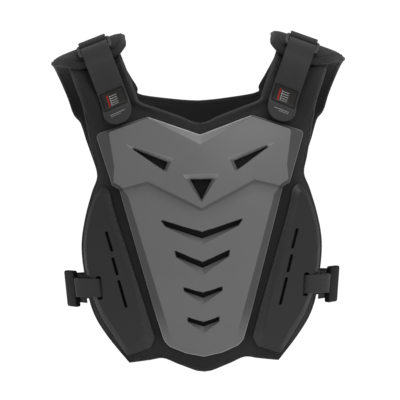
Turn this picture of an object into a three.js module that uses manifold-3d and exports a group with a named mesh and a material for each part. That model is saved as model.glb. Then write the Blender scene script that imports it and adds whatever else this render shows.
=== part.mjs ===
// Motocross roost deflector: chest and back guard, open at the neck, the arms and the waist.
// Millimetres, +Z up. The chest faces -Y and +X is to the right as seen from the front.
// The origin lies midway between the undersides of the two shoulder arches.

import * as THREE from 'three';
import { mergeVertices } from 'three/addons/utils/BufferGeometryUtils.js';
import Module from 'manifold-3d';

const wasm = await Module();
wasm.setup();

// Body that the guard wraps
const TORSO_HALF = 185;          // half width of the wearer's chest ellipse
const CHEST_DEPTH = 113;         // from the shoulder line forward to the breastbone
const BACK_DEPTH = 96;           // from the shoulder line back to the spine
const SHOULDER_REACH = 145;      // from the middle to the middle of a shoulder arch
const SHOULDER_LEAN = 20.5;      // slope of the shoulders, in degrees
const ARCH_FRONT = 72;           // shoulder line to the arch's foot, front and back
const ARCH_HEIGHT = 62;          // arch's foot to its top
const ARCH_BLEND = 70;           // length over which an arch runs into the chest

// Pads
const PAD_HALF = 165;            // half width of the front pad at the ribs
const PAD_DROP = 428.5;          // shoulder rest down to the front pad's tip
const BACK_HALF = 150;           // half width of the back pad
const BACK_DROP = 405;           // shoulder rest down to the back pad's tip
const FOAM = 9;                  // foam thickness
const BINDING = 5;               // thickness of the bound edge
const ARM_WIDTH = 72;            // front pad's arm
const ARM_CHANNEL = 5;           // foam under the strap
const ARM_ROLL = 10.5;           // padded rolls beside the strap
const FLAP_WIDTH = 105;          // back pad's arm, where it folds over the shoulder
const FLAP_SHIFT = 5;            // how far outward the middle of that arm lies from the arch's middle
const TIP_NOTCH = 12;            // rise of the pad's bottom edge on each side of the tip

// Plates
const SHELL_HALF = 141;          // half width of the chest plate at its upper corners
const SHELL_DROP = 408.6;        // shoulder rest down to the plate's tip
const SHELL_WALL = 3;            // plastic wall
const SHELL_RISE = 13;           // height of the chest plate's crown above the foam
const VENT_DEPTH = 5.5;          // depth of the bevels round the vents
const VENT_LIP = 2.4;            // plastic left round a vent behind the face
const WING_RISE = 7.5;           // height of a wing's face above the foam
const WING_WALL = 2.6;           // plastic wall of a wing
const WING_SLOT = 3.2;           // width of a wing's narrow slots
const BACK_RISE = 9;             // height of the back plate above the foam

// Straps and fittings
const WEB = 2;                   // thickness of the webbing
const STRAP_WIDTH = 38;          // shoulder strap
const STRAP_SHIFT = 6.8;         // how far inward of the arch's middle the shoulder strap runs
const RING_WIDTH = 48;           // shoulder ring, across the strap
const RING_LENGTH = 27;          // shoulder ring, along the strap
const RING_BAR = 4.5;            // thickness of the ring's bars
const RING_ANGLE = 37;           // place of the ring's middle on the arch, in degrees in front of the top
const STRAP_SLACK = 7;           // how far the strap's fold stands loose past the ring's near bar
const ANCHOR_WIDTH = 39;         // webbing that ties the ring to the back pad
const LABEL_WIDTH = 33;
const LABEL_HEIGHT = 28;
const LABEL_START = 110;         // angle of the patch's lower edge on the arch
const LABEL_THICK = 0.8;
const TAB_WIDTH = 25;            // webbing from the wing to the buckle
const ELASTIC_WIDTH = 38;        // side strap
const BUCKLE_HEIGHT = 50;
const BUCKLE_LENGTH = 33;
const BUCKLE_THICK = 7;
const BUCKLE_SLOT = 9;           // depth of the slot that takes the side tab
const BUCKLE_TURN = 26;          // turn of the buckle's face from the side towards the front, in degrees
const SIDE_LEAN = 6;             // lean of the side straps with the taper of the waist, in degrees
const SIDE_HEIGHT = 319;         // shoulder rest down to the middle of the side strap
const TAB_RISE = 3;              // how far the side tab lies above the middle of the side strap
const BUCKLE_CLEAR = 14.5;         // side of the front pad out to the middle of the buckle
const STRAP_CLEAR = 20;          // side of the front pad out to the side strap

const SEAT = 0.8;                // gap between a plate and the foam it lies on
const GAP = 0.4;                 // gap between straps and what they touch

const FRONT = -1;                // side of the body, as the sign of Y
const BACK = 1;
const degrees = THREE.MathUtils.degToRad;
const lerp = THREE.MathUtils.lerp;

// Depth and width of the body from the shoulders down, as shares of CHEST_DEPTH, BACK_DEPTH and TORSO_HALF
const BODY_PROFILE = [
  { down: 0.0, chest: 0.55, back: 0.72, half: 1.25 },
  { down: 0.15, chest: 0.71, back: 0.84, half: 1.19 },
  { down: 0.23, chest: 0.79, back: 0.92, half: 1.15 },
  { down: 0.30, chest: 0.875, back: 0.98, half: 1.11 },
  { down: 0.40, chest: 0.955, back: 1.0, half: 1.05 },
  { down: 0.52, chest: 1.0, back: 0.99, half: 1.01 },
  { down: 0.66, chest: 1.0, back: 0.96, half: 1.0 },
  { down: 0.84, chest: 0.975, back: 0.92, half: 1.0 },
  { down: 1.0, chest: 0.925, back: 0.89, half: 1.0 },
];

// Rows of the front pad from its tip to the neck: inner and outer ends as shares of PAD_HALF and PAD_DROP
const PAD_ROWS = [
  { inner: 0, innerDown: 1.0, outer: 0.599, outerDown: 0.972 },
  { inner: 0, innerDown: 0.945, outer: 0.75, outerDown: 0.901 },
  { inner: 0, innerDown: 0.87, outer: 0.853, outerDown: 0.8425 },
  { inner: 0, innerDown: 0.79, outer: 0.912, outerDown: 0.786 },
  { inner: 0, innerDown: 0.69, outer: 0.957, outerDown: 0.688 },
  { inner: 0, innerDown: 0.63, outer: 0.973, outerDown: 0.63 },
  { inner: 0, innerDown: 0.58, outer: 0.97, outerDown: 0.581 },
  { inner: 0, innerDown: 0.51, outer: 0.936, outerDown: 0.51 },
  { inner: 0, innerDown: 0.435, outer: 0.878, outerDown: 0.434 },
  { inner: 0, innerDown: 0.375, outer: 0.835, outerDown: 0.387 },
  { inner: 0, innerDown: 0.315, outer: 0.864, outerDown: 0.334 },
  { inner: 0, innerDown: 0.268, outer: 0.891, outerDown: 0.282 },
  { inner: 0, innerDown: 0.229, outer: 0.912, outerDown: 0.243 },
  { inner: 0.164, innerDown: 0.205, outer: 0.927, outerDown: 0.215 },
  { inner: 0.327, innerDown: 0.181, outer: 0.939, outerDown: 0.194 },
  { inner: 0.492, innerDown: 0.155, outer: 0.952, outerDown: 0.17 },
];
const NECK_ROW = 12;             // first pad row whose inner end is the neckline

// Rows of a front arm over the shoulder, as degrees in front of the arch's top at each edge
const ARM_ROWS = [
  { inner: 100, outer: 82 },
  { inner: 86, outer: 71 },
  { inner: 70, outer: 61 },
  { inner: 52, outer: 49 },
  { inner: 36, outer: 36 },
  { inner: 20, outer: 20 },
  { inner: 5, outer: 5 },
  { inner: -10, outer: -10 },
];

// Columns of the front pad from the inner to the outer edge. foam and roll are shares of the full height.
const PAD_COLUMNS = [
  { across: 0.0, foam: 0, roll: 0.1 },
  { across: 0.045, foam: 0.75, roll: 0.85 },
  { across: 0.085, foam: 1, roll: 1.0 },
  { across: 0.115, foam: 1, roll: 0.6 },
  { across: 0.13, foam: 1, roll: 0 },
  { across: 0.35, foam: 1, roll: 0 },
  { across: 0.55, foam: 1, roll: 0 },
  { across: 0.71, foam: 1, roll: 0 },
  { across: 0.75, foam: 1, roll: 0.75 },
  { across: 0.83, foam: 1, roll: 1.0 },
  { across: 0.94, foam: 0.75, roll: 0.85 },
  { across: 1.0, foam: 0, roll: 0.1 },
];

// Rows of the back pad, as shares of BACK_HALF and BACK_DROP
const BACK_ROWS = [
  { inner: 0, innerDown: 1.0, outer: 0.56, outerDown: 0.968 },
  { inner: 0, innerDown: 0.93, outer: 0.78, outerDown: 0.91 },
  { inner: 0, innerDown: 0.83, outer: 0.94, outerDown: 0.82 },
  { inner: 0, innerDown: 0.72, outer: 1.0, outerDown: 0.716 },
  { inner: 0, innerDown: 0.605, outer: 0.985, outerDown: 0.605 },
  { inner: 0, innerDown: 0.506, outer: 0.93, outerDown: 0.506 },
  { inner: 0, innerDown: 0.407, outer: 0.945, outerDown: 0.42 },
  { inner: 0, innerDown: 0.32, outer: 1.0, outerDown: 0.35 },
  { inner: 0, innerDown: 0.242, outer: 1.04, outerDown: 0.305 },
  { inner: 0, innerDown: 0.185, outer: 1.067, outerDown: 0.275 },
  { inner: 0, innerDown: 0.141, outer: 1.09, outerDown: 0.248 },
  { inner: 0.3, innerDown: 0.131, outer: 1.115, outerDown: 0.222 },
  { inner: 0.58, innerDown: 0.112, outer: 1.145, outerDown: 0.2 },
];
const BACK_NECK_ROW = 10;

// Back arm: degrees behind the top of the arch, and width taken off its inner side.
// Then shares of the flap's front edge.
const BACK_ARM_ROWS = [
  { angle: -84, trim: 7 },
  { angle: -66, trim: 11 },
  { angle: -48, trim: 14 },
  { angle: -32, trim: 14 },
  { angle: -16, trim: 11 },
  { angle: 0, trim: 4 },
];
const FLAP_ROWS = [0.25, 0.5, 0.75, 0.93, 1];
const BACK_COLUMNS = [
  { across: 0.0, foam: 0, flapEnd: 34 },
  { across: 0.06, foam: 0.8, flapEnd: 43 },
  { across: 0.14, foam: 1, flapEnd: 49 },
  { across: 0.3, foam: 1, flapEnd: 50 },
  { across: 0.48, foam: 1, flapEnd: 50 },
  { across: 0.65, foam: 1, flapEnd: 49 },
  { across: 0.8, foam: 1, flapEnd: 39 },
  { across: 0.93, foam: 0.8, flapEnd: 23 },
  { across: 1.0, foam: 0, flapEnd: 11 },
];

// Rows of the chest plate from its tip to its neck, as shares of SHELL_HALF and SHELL_DROP.
// bow lifts the row between its ends, most at the share peak. crown and edge are shares of SHELL_RISE.
const SHELL_ROWS = [
  { middle: 1.0, rim: 0.36, rimDown: 0.957, bow: -0.008, peak: 0.5, crown: 0.3, edge: 0.28 },
  { middle: 0.966, rim: 0.388, rimDown: 0.932, bow: -0.004, peak: 0.5, crown: 0.62, edge: 0.5 },
  { middle: 0.92, rim: 0.425, rimDown: 0.896, bow: 0, peak: 0.5, crown: 0.72, edge: 0.52 },
  { middle: 0.845, rim: 0.472, rimDown: 0.845, bow: 0, peak: 0.5, crown: 0.75, edge: 0.54 },
  { middle: 0.761, rim: 0.538, rimDown: 0.761, bow: 0, peak: 0.5, crown: 0.77, edge: 0.54 },
  { middle: 0.641, rim: 0.633, rimDown: 0.641, bow: 0, peak: 0.5, crown: 0.77, edge: 0.54 },
  { middle: 0.572, rim: 0.695, rimDown: 0.556, bow: 0.016, peak: 0.62, crown: 0.75, edge: 0.54 },
  { middle: 0.528, rim: 0.765, rimDown: 0.478, bow: 0.04, peak: 0.62, crown: 0.7, edge: 0.54 },
  { middle: 0.514, rim: 0.79, rimDown: 0.447, bow: 0.044, peak: 0.62, crown: 1.0, edge: 0.62 },
  { middle: 0.462, rim: 0.86, rimDown: 0.43, bow: 0.02, peak: 0.6, crown: 1.0, edge: 0.7 },
  { middle: 0.405, rim: 0.893, rimDown: 0.39, bow: 0.01, peak: 0.55, crown: 1.0, edge: 0.72 },
  { middle: 0.354, rim: 0.945, rimDown: 0.33, bow: 0.016, peak: 0.51, crown: 1.0, edge: 0.66 },
  { middle: 0.31, rim: 0.985, rimDown: 0.283, bow: 0.054, peak: 0.51, crown: 0.96, edge: 0.5 },
  { middle: 0.275, rim: 0.985, rimDown: 0.268, bow: 0.06, peak: 0.51, crown: 0.46, edge: 0.42 },
];
const SHELL_COLUMNS = [0, 0.17, 0.34, 0.51, 0.66, 0.79, 0.9, 1];
const SHELL_FACE_END = 0.9;      // share of a row where the face ends and the side bevel starts

// Vents, as shares of SHELL_HALF and SHELL_DROP: the bevel's outline and the hole's outline
const EYE_VENT = {
  bevel: [[0.718, 0.302], [0.26, 0.352], [0.327, 0.398]],
  hole: [[0.648, 0.317], [0.312, 0.364], [0.35, 0.391]],
};
const TRIANGLE_VENT = {
  bevel: [[0.168, 0.406], [-0.168, 0.406], [0, 0.497]],
  hole: [[0.103, 0.422], [-0.103, 0.422], [0, 0.489]],
};
// Chevron vents: half widths of the upper and lower ends, and drops of the ends, the middle and the bevel
const CHEVRON_VENTS = [
  { half: 0.391, lowHalf: 0.345, end: 0.551, lowEnd: 0.575, middle: 0.592, lowMiddle: 0.6145, bevel: 0.634 },
  { half: 0.266, lowHalf: 0.247, end: 0.65, lowEnd: 0.6745, middle: 0.69, lowMiddle: 0.71, bevel: 0.733 },
  { half: 0.189, lowHalf: 0.18, end: 0.77, lowEnd: 0.785, middle: 0.789, lowMiddle: 0.8075, bevel: 0.8275 },
  { half: 0.157, lowHalf: 0.149, end: 0.867, lowEnd: 0.8845, middle: 0.8845, lowMiddle: 0.9, bevel: 0.9225 },
];

// Rows of a wing from its foot to its top, as shares of PAD_HALF and PAD_DROP
const WING_ROWS = [
  { inner: 0.43, innerDown: 0.92, outer: 0.622, outerDown: 0.945 },
  { inner: 0.4, innerDown: 0.895, outer: 0.72, outerDown: 0.893 },
  { inner: 0.445, innerDown: 0.826, outer: 0.83, outerDown: 0.832 },
  { inner: 0.505, innerDown: 0.748, outer: 0.91, outerDown: 0.762 },
  { inner: 0.573, innerDown: 0.665, outer: 0.962, outerDown: 0.682 },
  { inner: 0.63, innerDown: 0.592, outer: 0.972, outerDown: 0.615 },
  { inner: 0.675, innerDown: 0.537, outer: 0.958, outerDown: 0.556 },
  { inner: 0.718, innerDown: 0.478, outer: 0.918, outerDown: 0.497 },
  { inner: 0.748, innerDown: 0.439, outer: 0.872, outerDown: 0.452 },
  { inner: 0.776, innerDown: 0.421, outer: 0.824, outerDown: 0.422 },
];
const WING_COLUMNS = [
  { across: 0, rise: 0.34 },
  { across: 0.17, rise: 0.95 },
  { across: 0.4, rise: 1.0 },
  { across: 0.65, rise: 0.95 },
  { across: 0.88, rise: 0.75 },
  { across: 1, rise: 0.34 },
];
// Narrow slots of a wing: upper and lower ends as shares of PAD_HALF and PAD_DROP
const WING_SLOTS = [
  { upper: 0.776, upperDown: 0.561, lower: 0.731, lowerDown: 0.622 },
  { upper: 0.727, upperDown: 0.642, lower: 0.69, lowerDown: 0.696 },
  { upper: 0.681, upperDown: 0.713, lower: 0.622, lowerDown: 0.797 },
];
const STRAP_SLOT = { upper: 0.85, upperDown: 0.701, lower: 0.836, lowerDown: 0.773, width: 6.5 };

// Rows of the back plate, as shares of BACK_HALF and BACK_DROP
const PLATE_ROWS = [
  { middle: 0.945, rim: 0.32, rimDown: 0.915, crown: 0.4 },
  { middle: 0.9, rim: 0.4, rimDown: 0.88, crown: 0.9 },
  { middle: 0.76, rim: 0.55, rimDown: 0.75, crown: 1 },
  { middle: 0.6, rim: 0.64, rimDown: 0.6, crown: 1 },
  { middle: 0.45, rim: 0.68, rimDown: 0.45, crown: 1 },
  { middle: 0.33, rim: 0.72, rimDown: 0.32, crown: 1 },
  { middle: 0.27, rim: 0.74, rimDown: 0.25, crown: 0.9 },
  { middle: 0.24, rim: 0.7, rimDown: 0.215, crown: 0.4 },
];
const PLATE_COLUMNS = [0, 0.25, 0.5, 0.72, 0.88, 1];

// Value of a table's column at a place along its key column, on a smooth curve through the rows
function between(table, key, column, place) {
  let next = table.findIndex((row) => row[key] > place);
  if (next < 0) next = table.length - 1;
  next = Math.max(next, 1);
  const slope = (index) => {
    const low = table[Math.max(index - 1, 0)];
    const high = table[Math.min(index + 1, table.length - 1)];
    return (high[column] - low[column]) / (high[key] - low[key]);
  };
  const from = table[next - 1];
  const to = table[next];
  const span = to[key] - from[key];
  const s = THREE.MathUtils.clamp((place - from[key]) / span, 0, 1);
  const h1 = s * s * (3 - 2 * s);
  const rise = s * (1 - s) * span * ((1 - s) * slope(next - 1) - s * slope(next));
  return from[column] + (to[column] - from[column]) * h1 + rise;
}

// Place on a shoulder: across the arm, outward, and down from the top of the arch
const lean = degrees(SHOULDER_LEAN);
function fromShoulder(across, down) {
  return {
    x: SHOULDER_REACH + across * Math.cos(lean) - down * Math.sin(lean),
    z: -across * Math.sin(lean) - down * Math.cos(lean),
  };
}
function shoulderDrop(x, z) {
  return -(x - SHOULDER_REACH) * Math.sin(lean) - z * Math.cos(lean);
}
function archDrop(angle) {
  const turn = Math.abs(angle);
  if (turn <= 90) return ARCH_HEIGHT * (1 - Math.cos(degrees(turn)));
  return ARCH_HEIGHT * (1 + degrees(turn - 90));
}

// Point of the wearer's body under the guard, at x and z on one side of the body
function skinPoint(side, x, z) {
  const down = -z / PAD_DROP;
  const [column, depth] = side === FRONT ? ['chest', CHEST_DEPTH] : ['back', BACK_DEPTH];
  const half = TORSO_HALF * between(BODY_PROFILE, 'down', 'half', down);
  const reach = Math.sqrt(Math.max(1 - (x / half) ** 2, 0.02));
  const torso = depth * between(BODY_PROFILE, 'down', column, down) * reach;
  const drop = Math.max(shoulderDrop(x, z), 0);
  const rise = 1 - Math.min(drop, ARCH_HEIGHT) / ARCH_HEIGHT;
  const arch = ARCH_FRONT * Math.sqrt(1 - rise * rise);
  const blendStart = ARCH_HEIGHT * 0.6;
  const blend = THREE.MathUtils.smoothstep(drop, blendStart, blendStart + ARCH_BLEND);
  return new THREE.Vector3(x, side * lerp(arch, torso, blend), z);
}

// Direction square to the body, away from it
function outwardAt(side, x, z) {
  const step = 2;
  const across = skinPoint(side, x + step, z).sub(skinPoint(side, x - step, z));
  const along = skinPoint(side, x, z + step).sub(skinPoint(side, x, z - step));
  return across.cross(along).normalize().multiplyScalar(-side);
}

// Point of the body under a surface that stands off it by a lift and is seen from the front at x and z
function under(side, x, z, lift) {
  const place = { x, z };
  for (let n = 0; n < 5; n += 1) {
    const outward = outwardAt(side, place.x, place.z);
    place.x = x === 0 ? 0 : x - outward.x * lift;
    place.z = z - outward.z * lift;
  }
  return skinPoint(side, place.x, place.z);
}

// Point of a shoulder arch, by the distance across from its middle and the angle round its top
function archPoint(across, angle) {
  const place = fromShoulder(across, archDrop(angle));
  return skinPoint(angle >= 0 ? FRONT : BACK, place.x, place.z);
}

// Outward directions of a grid of points whose columns run outward and whose rows run upward
function directions(grid, side) {
  const clampRow = (i) => grid[THREE.MathUtils.clamp(i, 0, grid.length - 1)];
  return grid.map((row, i) => row.map((_, j) => {
    const last = row.length - 1;
    const along = clampRow(i + 1)[j].clone().sub(clampRow(i - 1)[j]);
    const across = row[Math.min(j + 1, last)].clone().sub(row[Math.max(j - 1, 0)]);
    return across.cross(along).normalize().multiplyScalar(-side);
  }));
}

// Grid lifted off the body by a height for each row and column. Points in the middle plane stay there.
function lifted(grid, side, height) {
  const outward = directions(grid, side);
  return grid.map((row, i) => row.map((point, j) => {
    const direction = outward[i][j].clone();
    if (point.x === 0) direction.setX(0).normalize();
    return point.clone().addScaledVector(direction, height(i, j));
  }));
}

// Closed mesh between an outer and an inner grid. On the middle plane it stays open for its mirror image.
function sheetGeometry(outer, inner) {
  const rows = outer.length;
  const columns = outer[0].length;
  const positions = [];
  const index = [];
  for (const grid of [outer, inner]) {
    for (const point of grid.flat()) positions.push(point.x, point.y, point.z);
  }
  const at = (layer, i, j) => (layer * rows + i) * columns + j;
  const quad = (a, b, c, d) => index.push(a, b, c, a, c, d);
  for (let i = 0; i < rows - 1; i += 1) {
    for (let j = 0; j < columns - 1; j += 1) {
      quad(at(0, i, j), at(0, i, j + 1), at(0, i + 1, j + 1), at(0, i + 1, j));
      quad(at(1, i, j), at(1, i + 1, j), at(1, i + 1, j + 1), at(1, i, j + 1));
    }
    const onMiddle = outer[i][0].x === 0 && outer[i + 1][0].x === 0;
    if (!onMiddle) quad(at(0, i, 0), at(0, i + 1, 0), at(1, i + 1, 0), at(1, i, 0));
    const last = columns - 1;
    quad(at(0, i, last), at(1, i, last), at(1, i + 1, last), at(0, i + 1, last));
  }
  for (let j = 0; j < columns - 1; j += 1) {
    const top = rows - 1;
    quad(at(0, 0, j), at(1, 0, j), at(1, 0, j + 1), at(0, 0, j + 1));
    quad(at(0, top, j), at(0, top, j + 1), at(1, top, j + 1), at(1, top, j));
  }
  const geometry = new THREE.BufferGeometry();
  geometry.setAttribute('position', new THREE.Float32BufferAttribute(positions, 3));
  geometry.setIndex(index);
  return geometry;
}

function flipped(geometry) {
  const index = geometry.getIndex();
  for (let i = 0; i < index.count; i += 3) {
    const second = index.getX(i + 1);
    index.setX(i + 1, index.getX(i + 2));
    index.setX(i + 2, second);
  }
  return geometry;
}

function mirrored(geometry) {
  return flipped(geometry.clone().scale(-1, 1, 1));
}

// Right half and its mirror image, welded along the middle plane
function bothHalves(half) {
  const other = mirrored(half);
  const shift = half.getAttribute('position').count;
  const positions = [...half.getAttribute('position').array, ...other.getAttribute('position').array];
  const index = [...half.getIndex().array, ...[...other.getIndex().array].map((i) => i + shift)];
  const whole = new THREE.BufferGeometry();
  whole.setAttribute('position', new THREE.Float32BufferAttribute(positions, 3));
  whole.setIndex(index);
  return mergeVertices(whole, 1e-4);
}

// Sheet whose faces point outward: a grid on the back of the body winds the other way
function sheet(outer, inner, side) {
  const geometry = sheetGeometry(outer, inner);
  return side === BACK ? flipped(geometry) : geometry;
}

function toSolid(geometry) {
  const bare = geometry.clone();
  bare.deleteAttribute('normal');
  bare.deleteAttribute('uv');
  const merged = mergeVertices(bare, 1e-4);
  return new wasm.Manifold(new wasm.Mesh({
    numProp: 3,
    vertProperties: new Float32Array(merged.getAttribute('position').array),
    triVerts: new Uint32Array(merged.getIndex().array),
  }));
}

function toGeometry(solid) {
  const mesh = solid.getMesh();
  const geometry = new THREE.BufferGeometry();
  const positions = new Float32Array(mesh.vertProperties);
  geometry.setAttribute('position', new THREE.BufferAttribute(positions, 3));
  geometry.setIndex(new THREE.BufferAttribute(new Uint32Array(mesh.triVerts), 1));
  return geometry;
}

// Prism through a stack of outlines with equal numbers of points, listed from the front to the back
function prism(rings) {
  const count = rings[0].length;
  const flat = rings[0].map((point) => new THREE.Vector2(point.x, point.z));
  const clockwise = THREE.ShapeUtils.isClockWise(flat);
  const caps = THREE.ShapeUtils.triangulateShape(clockwise ? [...flat].reverse() : flat, []);
  const order = (k) => (clockwise ? count - 1 - k : k);
  const positions = rings.flat().flatMap((point) => [point.x, point.y, point.z]);
  const index = [];
  const base = (rings.length - 1) * count;
  for (const [a, b, c] of caps) {
    index.push(order(a), order(b), order(c));
    index.push(base + order(a), base + order(c), base + order(b));
  }
  for (let level = 0; level < rings.length - 1; level += 1) {
    for (let k = 0; k < count; k += 1) {
      const a = level * count + order(k);
      const b = level * count + order((k + 1) % count);
      index.push(a, a + count, b, b, a + count, b + count);
    }
  }
  const geometry = new THREE.BufferGeometry();
  geometry.setAttribute('position', new THREE.Float32BufferAttribute(positions, 3));
  geometry.setIndex(index);
  return geometry;
}

// Front pad
function rowPoints(side, row, columns, half, drop, notch) {
  return columns.map((column) => {
    const x = half * lerp(row.inner, row.outer, column.across);
    const down = drop * lerp(row.innerDown, row.outerDown, column.across);
    const peak = Math.max(1 - Math.abs(column.across - 0.55) / 0.45, 0);
    return skinPoint(side, x, -down + notch * peak);
  });
}

function armPoints(row, columns, width, shift = 0) {
  return columns.map((column) => {
    const angle = lerp(row.inner, row.outer, column.across);
    return archPoint(width * (column.across - 0.5) + shift, angle);
  });
}

function frontPad() {
  const chest = PAD_ROWS.map((row, i) => (
    rowPoints(FRONT, row, PAD_COLUMNS, PAD_HALF, PAD_DROP, i === 0 ? TIP_NOTCH : 0)
  ));
  const arm = ARM_ROWS.map((row) => armPoints(row, PAD_COLUMNS, ARM_WIDTH));
  const body = [...chest, ...arm];
  const top = body.length - 1;
  const height = (i, j) => {
    const column = PAD_COLUMNS[j];
    const inMiddle = i < NECK_ROW && column.across < 0.5;
    const foam = i === 0 || i === top ? 0 : inMiddle ? 1 : column.foam;
    const flat = lerp(BINDING, FOAM, foam);
    const onArm = THREE.MathUtils.smoothstep(i, NECK_ROW, PAD_ROWS.length - 1);
    return i === top ? flat : lerp(flat, lerp(ARM_CHANNEL, ARM_ROLL, column.roll), onArm);
  };
  return bothHalves(sheet(lifted(body, FRONT, height), body, FRONT));
}

// Back pad: its arms fold forward over the shoulders and lie on the front pad's arms
function backPad() {
  const back = BACK_ROWS.map((row, i) => (
    rowPoints(BACK, row, BACK_COLUMNS, BACK_HALF, BACK_DROP, i === 0 ? TIP_NOTCH : 0)
  ));
  const arm = BACK_ARM_ROWS.map(({ angle, trim }) => (
    armPoints({ inner: angle, outer: angle }, BACK_COLUMNS, FLAP_WIDTH - trim, FLAP_SHIFT + trim / 2)
  ));
  const flap = FLAP_ROWS.map((share) => BACK_COLUMNS.map((column) => (
    archPoint(FLAP_WIDTH * (column.across - 0.5) + FLAP_SHIFT, share * column.flapEnd)
  )));
  const body = [...back, ...arm, ...flap];
  const top = body.length - 1;
  const clear = (i) => {
    const over = THREE.MathUtils.smoothstep(i, BACK_NECK_ROW + 1, BACK_ROWS.length + 2);
    return over * (ARM_ROLL + GAP + SEAT);
  };
  const height = (i, j) => {
    const column = BACK_COLUMNS[j];
    const inMiddle = i < BACK_NECK_ROW && column.across < 0.5;
    const foam = i === 0 || i === top ? 0 : inMiddle ? 1 : column.foam;
    return clear(i) + lerp(BINDING, FOAM, foam);
  };
  const inner = lifted(body, BACK, clear);
  return bothHalves(sheet(lifted(body, BACK, height), inner, BACK));
}

// Chest plate
function shellBody() {
  return SHELL_ROWS.map((row, i) => SHELL_COLUMNS.map((across, j) => {
    const down = lerp(row.middle, row.rimDown, across);
    const peak = across < row.peak ? across / row.peak : (1 - across) / (1 - row.peak);
    const lift = FOAM + SEAT + shellHeight(i, j);
    return under(FRONT, SHELL_HALF * row.rim * across, -SHELL_DROP * (down - row.bow * peak), lift);
  }));
}

function shellHeight(i, j) {
  const across = SHELL_COLUMNS[j];
  const row = SHELL_ROWS[i];
  const share = lerp(row.crown, row.edge, Math.min(across / SHELL_FACE_END, 1) ** 1.6);
  return across > SHELL_FACE_END ? SHELL_WALL : SHELL_RISE * share;
}

// Point of a grid's surface at x and z, found in the grid cell that holds them
function onGrid(grid, x, z) {
  const place = new THREE.Vector3(Math.max(Math.abs(x), 0.01), 0, z);
  const triangle = new THREE.Triangle();
  const share = new THREE.Vector3();
  const level = (point) => point.clone().setY(0);
  for (let i = 0; i < grid.length - 1; i += 1) {
    for (let j = 0; j < grid[i].length - 1; j += 1) {
      const [a, b, c, d] = [grid[i][j], grid[i][j + 1], grid[i + 1][j + 1], grid[i + 1][j]];
      for (const corners of [[a, b, c], [a, c, d]]) {
        triangle.set(...corners.map(level));
        if (triangle.containsPoint(place)) {
          triangle.getBarycoord(place, share);
          const y = corners[0].y * share.x + corners[1].y * share.y + corners[2].y * share.z;
          return new THREE.Vector3(x, y, z);
        }
      }
    }
  }
  return skinPoint(FRONT, x, z);
}

// Outline of a vent, grown outward, at a depth behind the plate's face
function ventRing(face, outline, depth, grow) {
  const centre = outline.reduce((sum, [x, down]) => [sum[0] + x, sum[1] + down], [0, 0])
    .map((value) => value / outline.length);
  return outline.map(([x, down]) => {
    const away = new THREE.Vector2((x - centre[0]) * SHELL_HALF, -(down - centre[1]) * SHELL_DROP);
    const place = new THREE.Vector2(x * SHELL_HALF, -down * SHELL_DROP)
      .addScaledVector(away.normalize(), grow);
    return onGrid(face, place.x, place.y).add(new THREE.Vector3(0, depth, 0));
  });
}

function chevronOutlines(vent) {
  const upper = [[-vent.half, vent.end], [0, vent.middle], [vent.half, vent.end]];
  return {
    hole: [...upper, [vent.lowHalf, vent.lowEnd], [0, vent.lowMiddle], [-vent.lowHalf, vent.lowEnd]],
    bevel: [...upper, [vent.lowHalf, vent.lowEnd], [0, vent.bevel], [-vent.lowHalf, vent.lowEnd]],
  };
}

function chestShell() {
  const body = shellBody();
  const base = FOAM + SEAT;
  const outer = lifted(body, FRONT, (i, j) => base + shellHeight(i, j));
  const inner = lifted(body, FRONT, (i, j) => base + Math.max(shellHeight(i, j) - SHELL_WALL, 0));
  let shell = toSolid(bothHalves(sheet(outer, inner, FRONT)));
  const mirror = (outline) => outline.map(([x, down]) => [-x, down]);
  const vents = [
    EYE_VENT,
    { bevel: mirror(EYE_VENT.bevel), hole: mirror(EYE_VENT.hole) },
    TRIANGLE_VENT,
    ...CHEVRON_VENTS.map(chevronOutlines),
  ];
  for (const vent of vents) {
    const lip = prism([
      ventRing(outer, vent.bevel, SHELL_WALL / 2, 0),
      ventRing(outer, vent.hole, VENT_DEPTH, VENT_LIP),
    ]);
    const cut = prism([
      ventRing(outer, vent.bevel, -SHELL_WALL, VENT_LIP),
      ventRing(outer, vent.bevel, 0, 0),
      ventRing(outer, vent.hole, VENT_DEPTH, 0),
      ventRing(outer, vent.hole, SHELL_RISE * 2, 0),
    ]);
    shell = shell.add(toSolid(lip)).subtract(toSolid(cut));
  }
  return toGeometry(shell);
}

// Wings
function wingHeight(i, j) {
  const rise = i === 0 || i === WING_ROWS.length - 1 ? 0.4 : WING_COLUMNS[j].rise;
  return Math.max(WING_RISE * rise, WING_WALL);
}

function wingBody() {
  return WING_ROWS.map((row, i) => WING_COLUMNS.map(({ across }, j) => {
    const x = PAD_HALF * lerp(row.inner, row.outer, across);
    const z = -PAD_DROP * lerp(row.innerDown, row.outerDown, across);
    return under(FRONT, x, z, FOAM + SEAT + wingHeight(i, j));
  }));
}

// Four corners of a slot in a wing's face, as rings for a prism through the wing
function slotRings(slot, width) {
  const upper = new THREE.Vector2(slot.upper * PAD_HALF, -slot.upperDown * PAD_DROP);
  const lower = new THREE.Vector2(slot.lower * PAD_HALF, -slot.lowerDown * PAD_DROP);
  const side = upper.clone().sub(lower).normalize().rotateAround(new THREE.Vector2(), Math.PI / 2);
  const middle = upper.clone().add(lower).multiplyScalar(0.5);
  const lift = FOAM + SEAT + WING_RISE;
  const place = under(FRONT, middle.x, middle.y, lift);
  const outward = outwardAt(FRONT, place.x, place.z);
  const corners = [[upper, -1], [upper, 1], [lower, 1], [lower, -1]].map(([end, sign]) => (
    end.clone().addScaledVector(side, sign * width * 0.5 * -outward.y)
  ));
  return [FOAM + WING_RISE * 2, FOAM * 0.5].map((height) => (
    corners.map((corner) => under(FRONT, corner.x, corner.y, lift).addScaledVector(outward, height))
  ));
}

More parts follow.
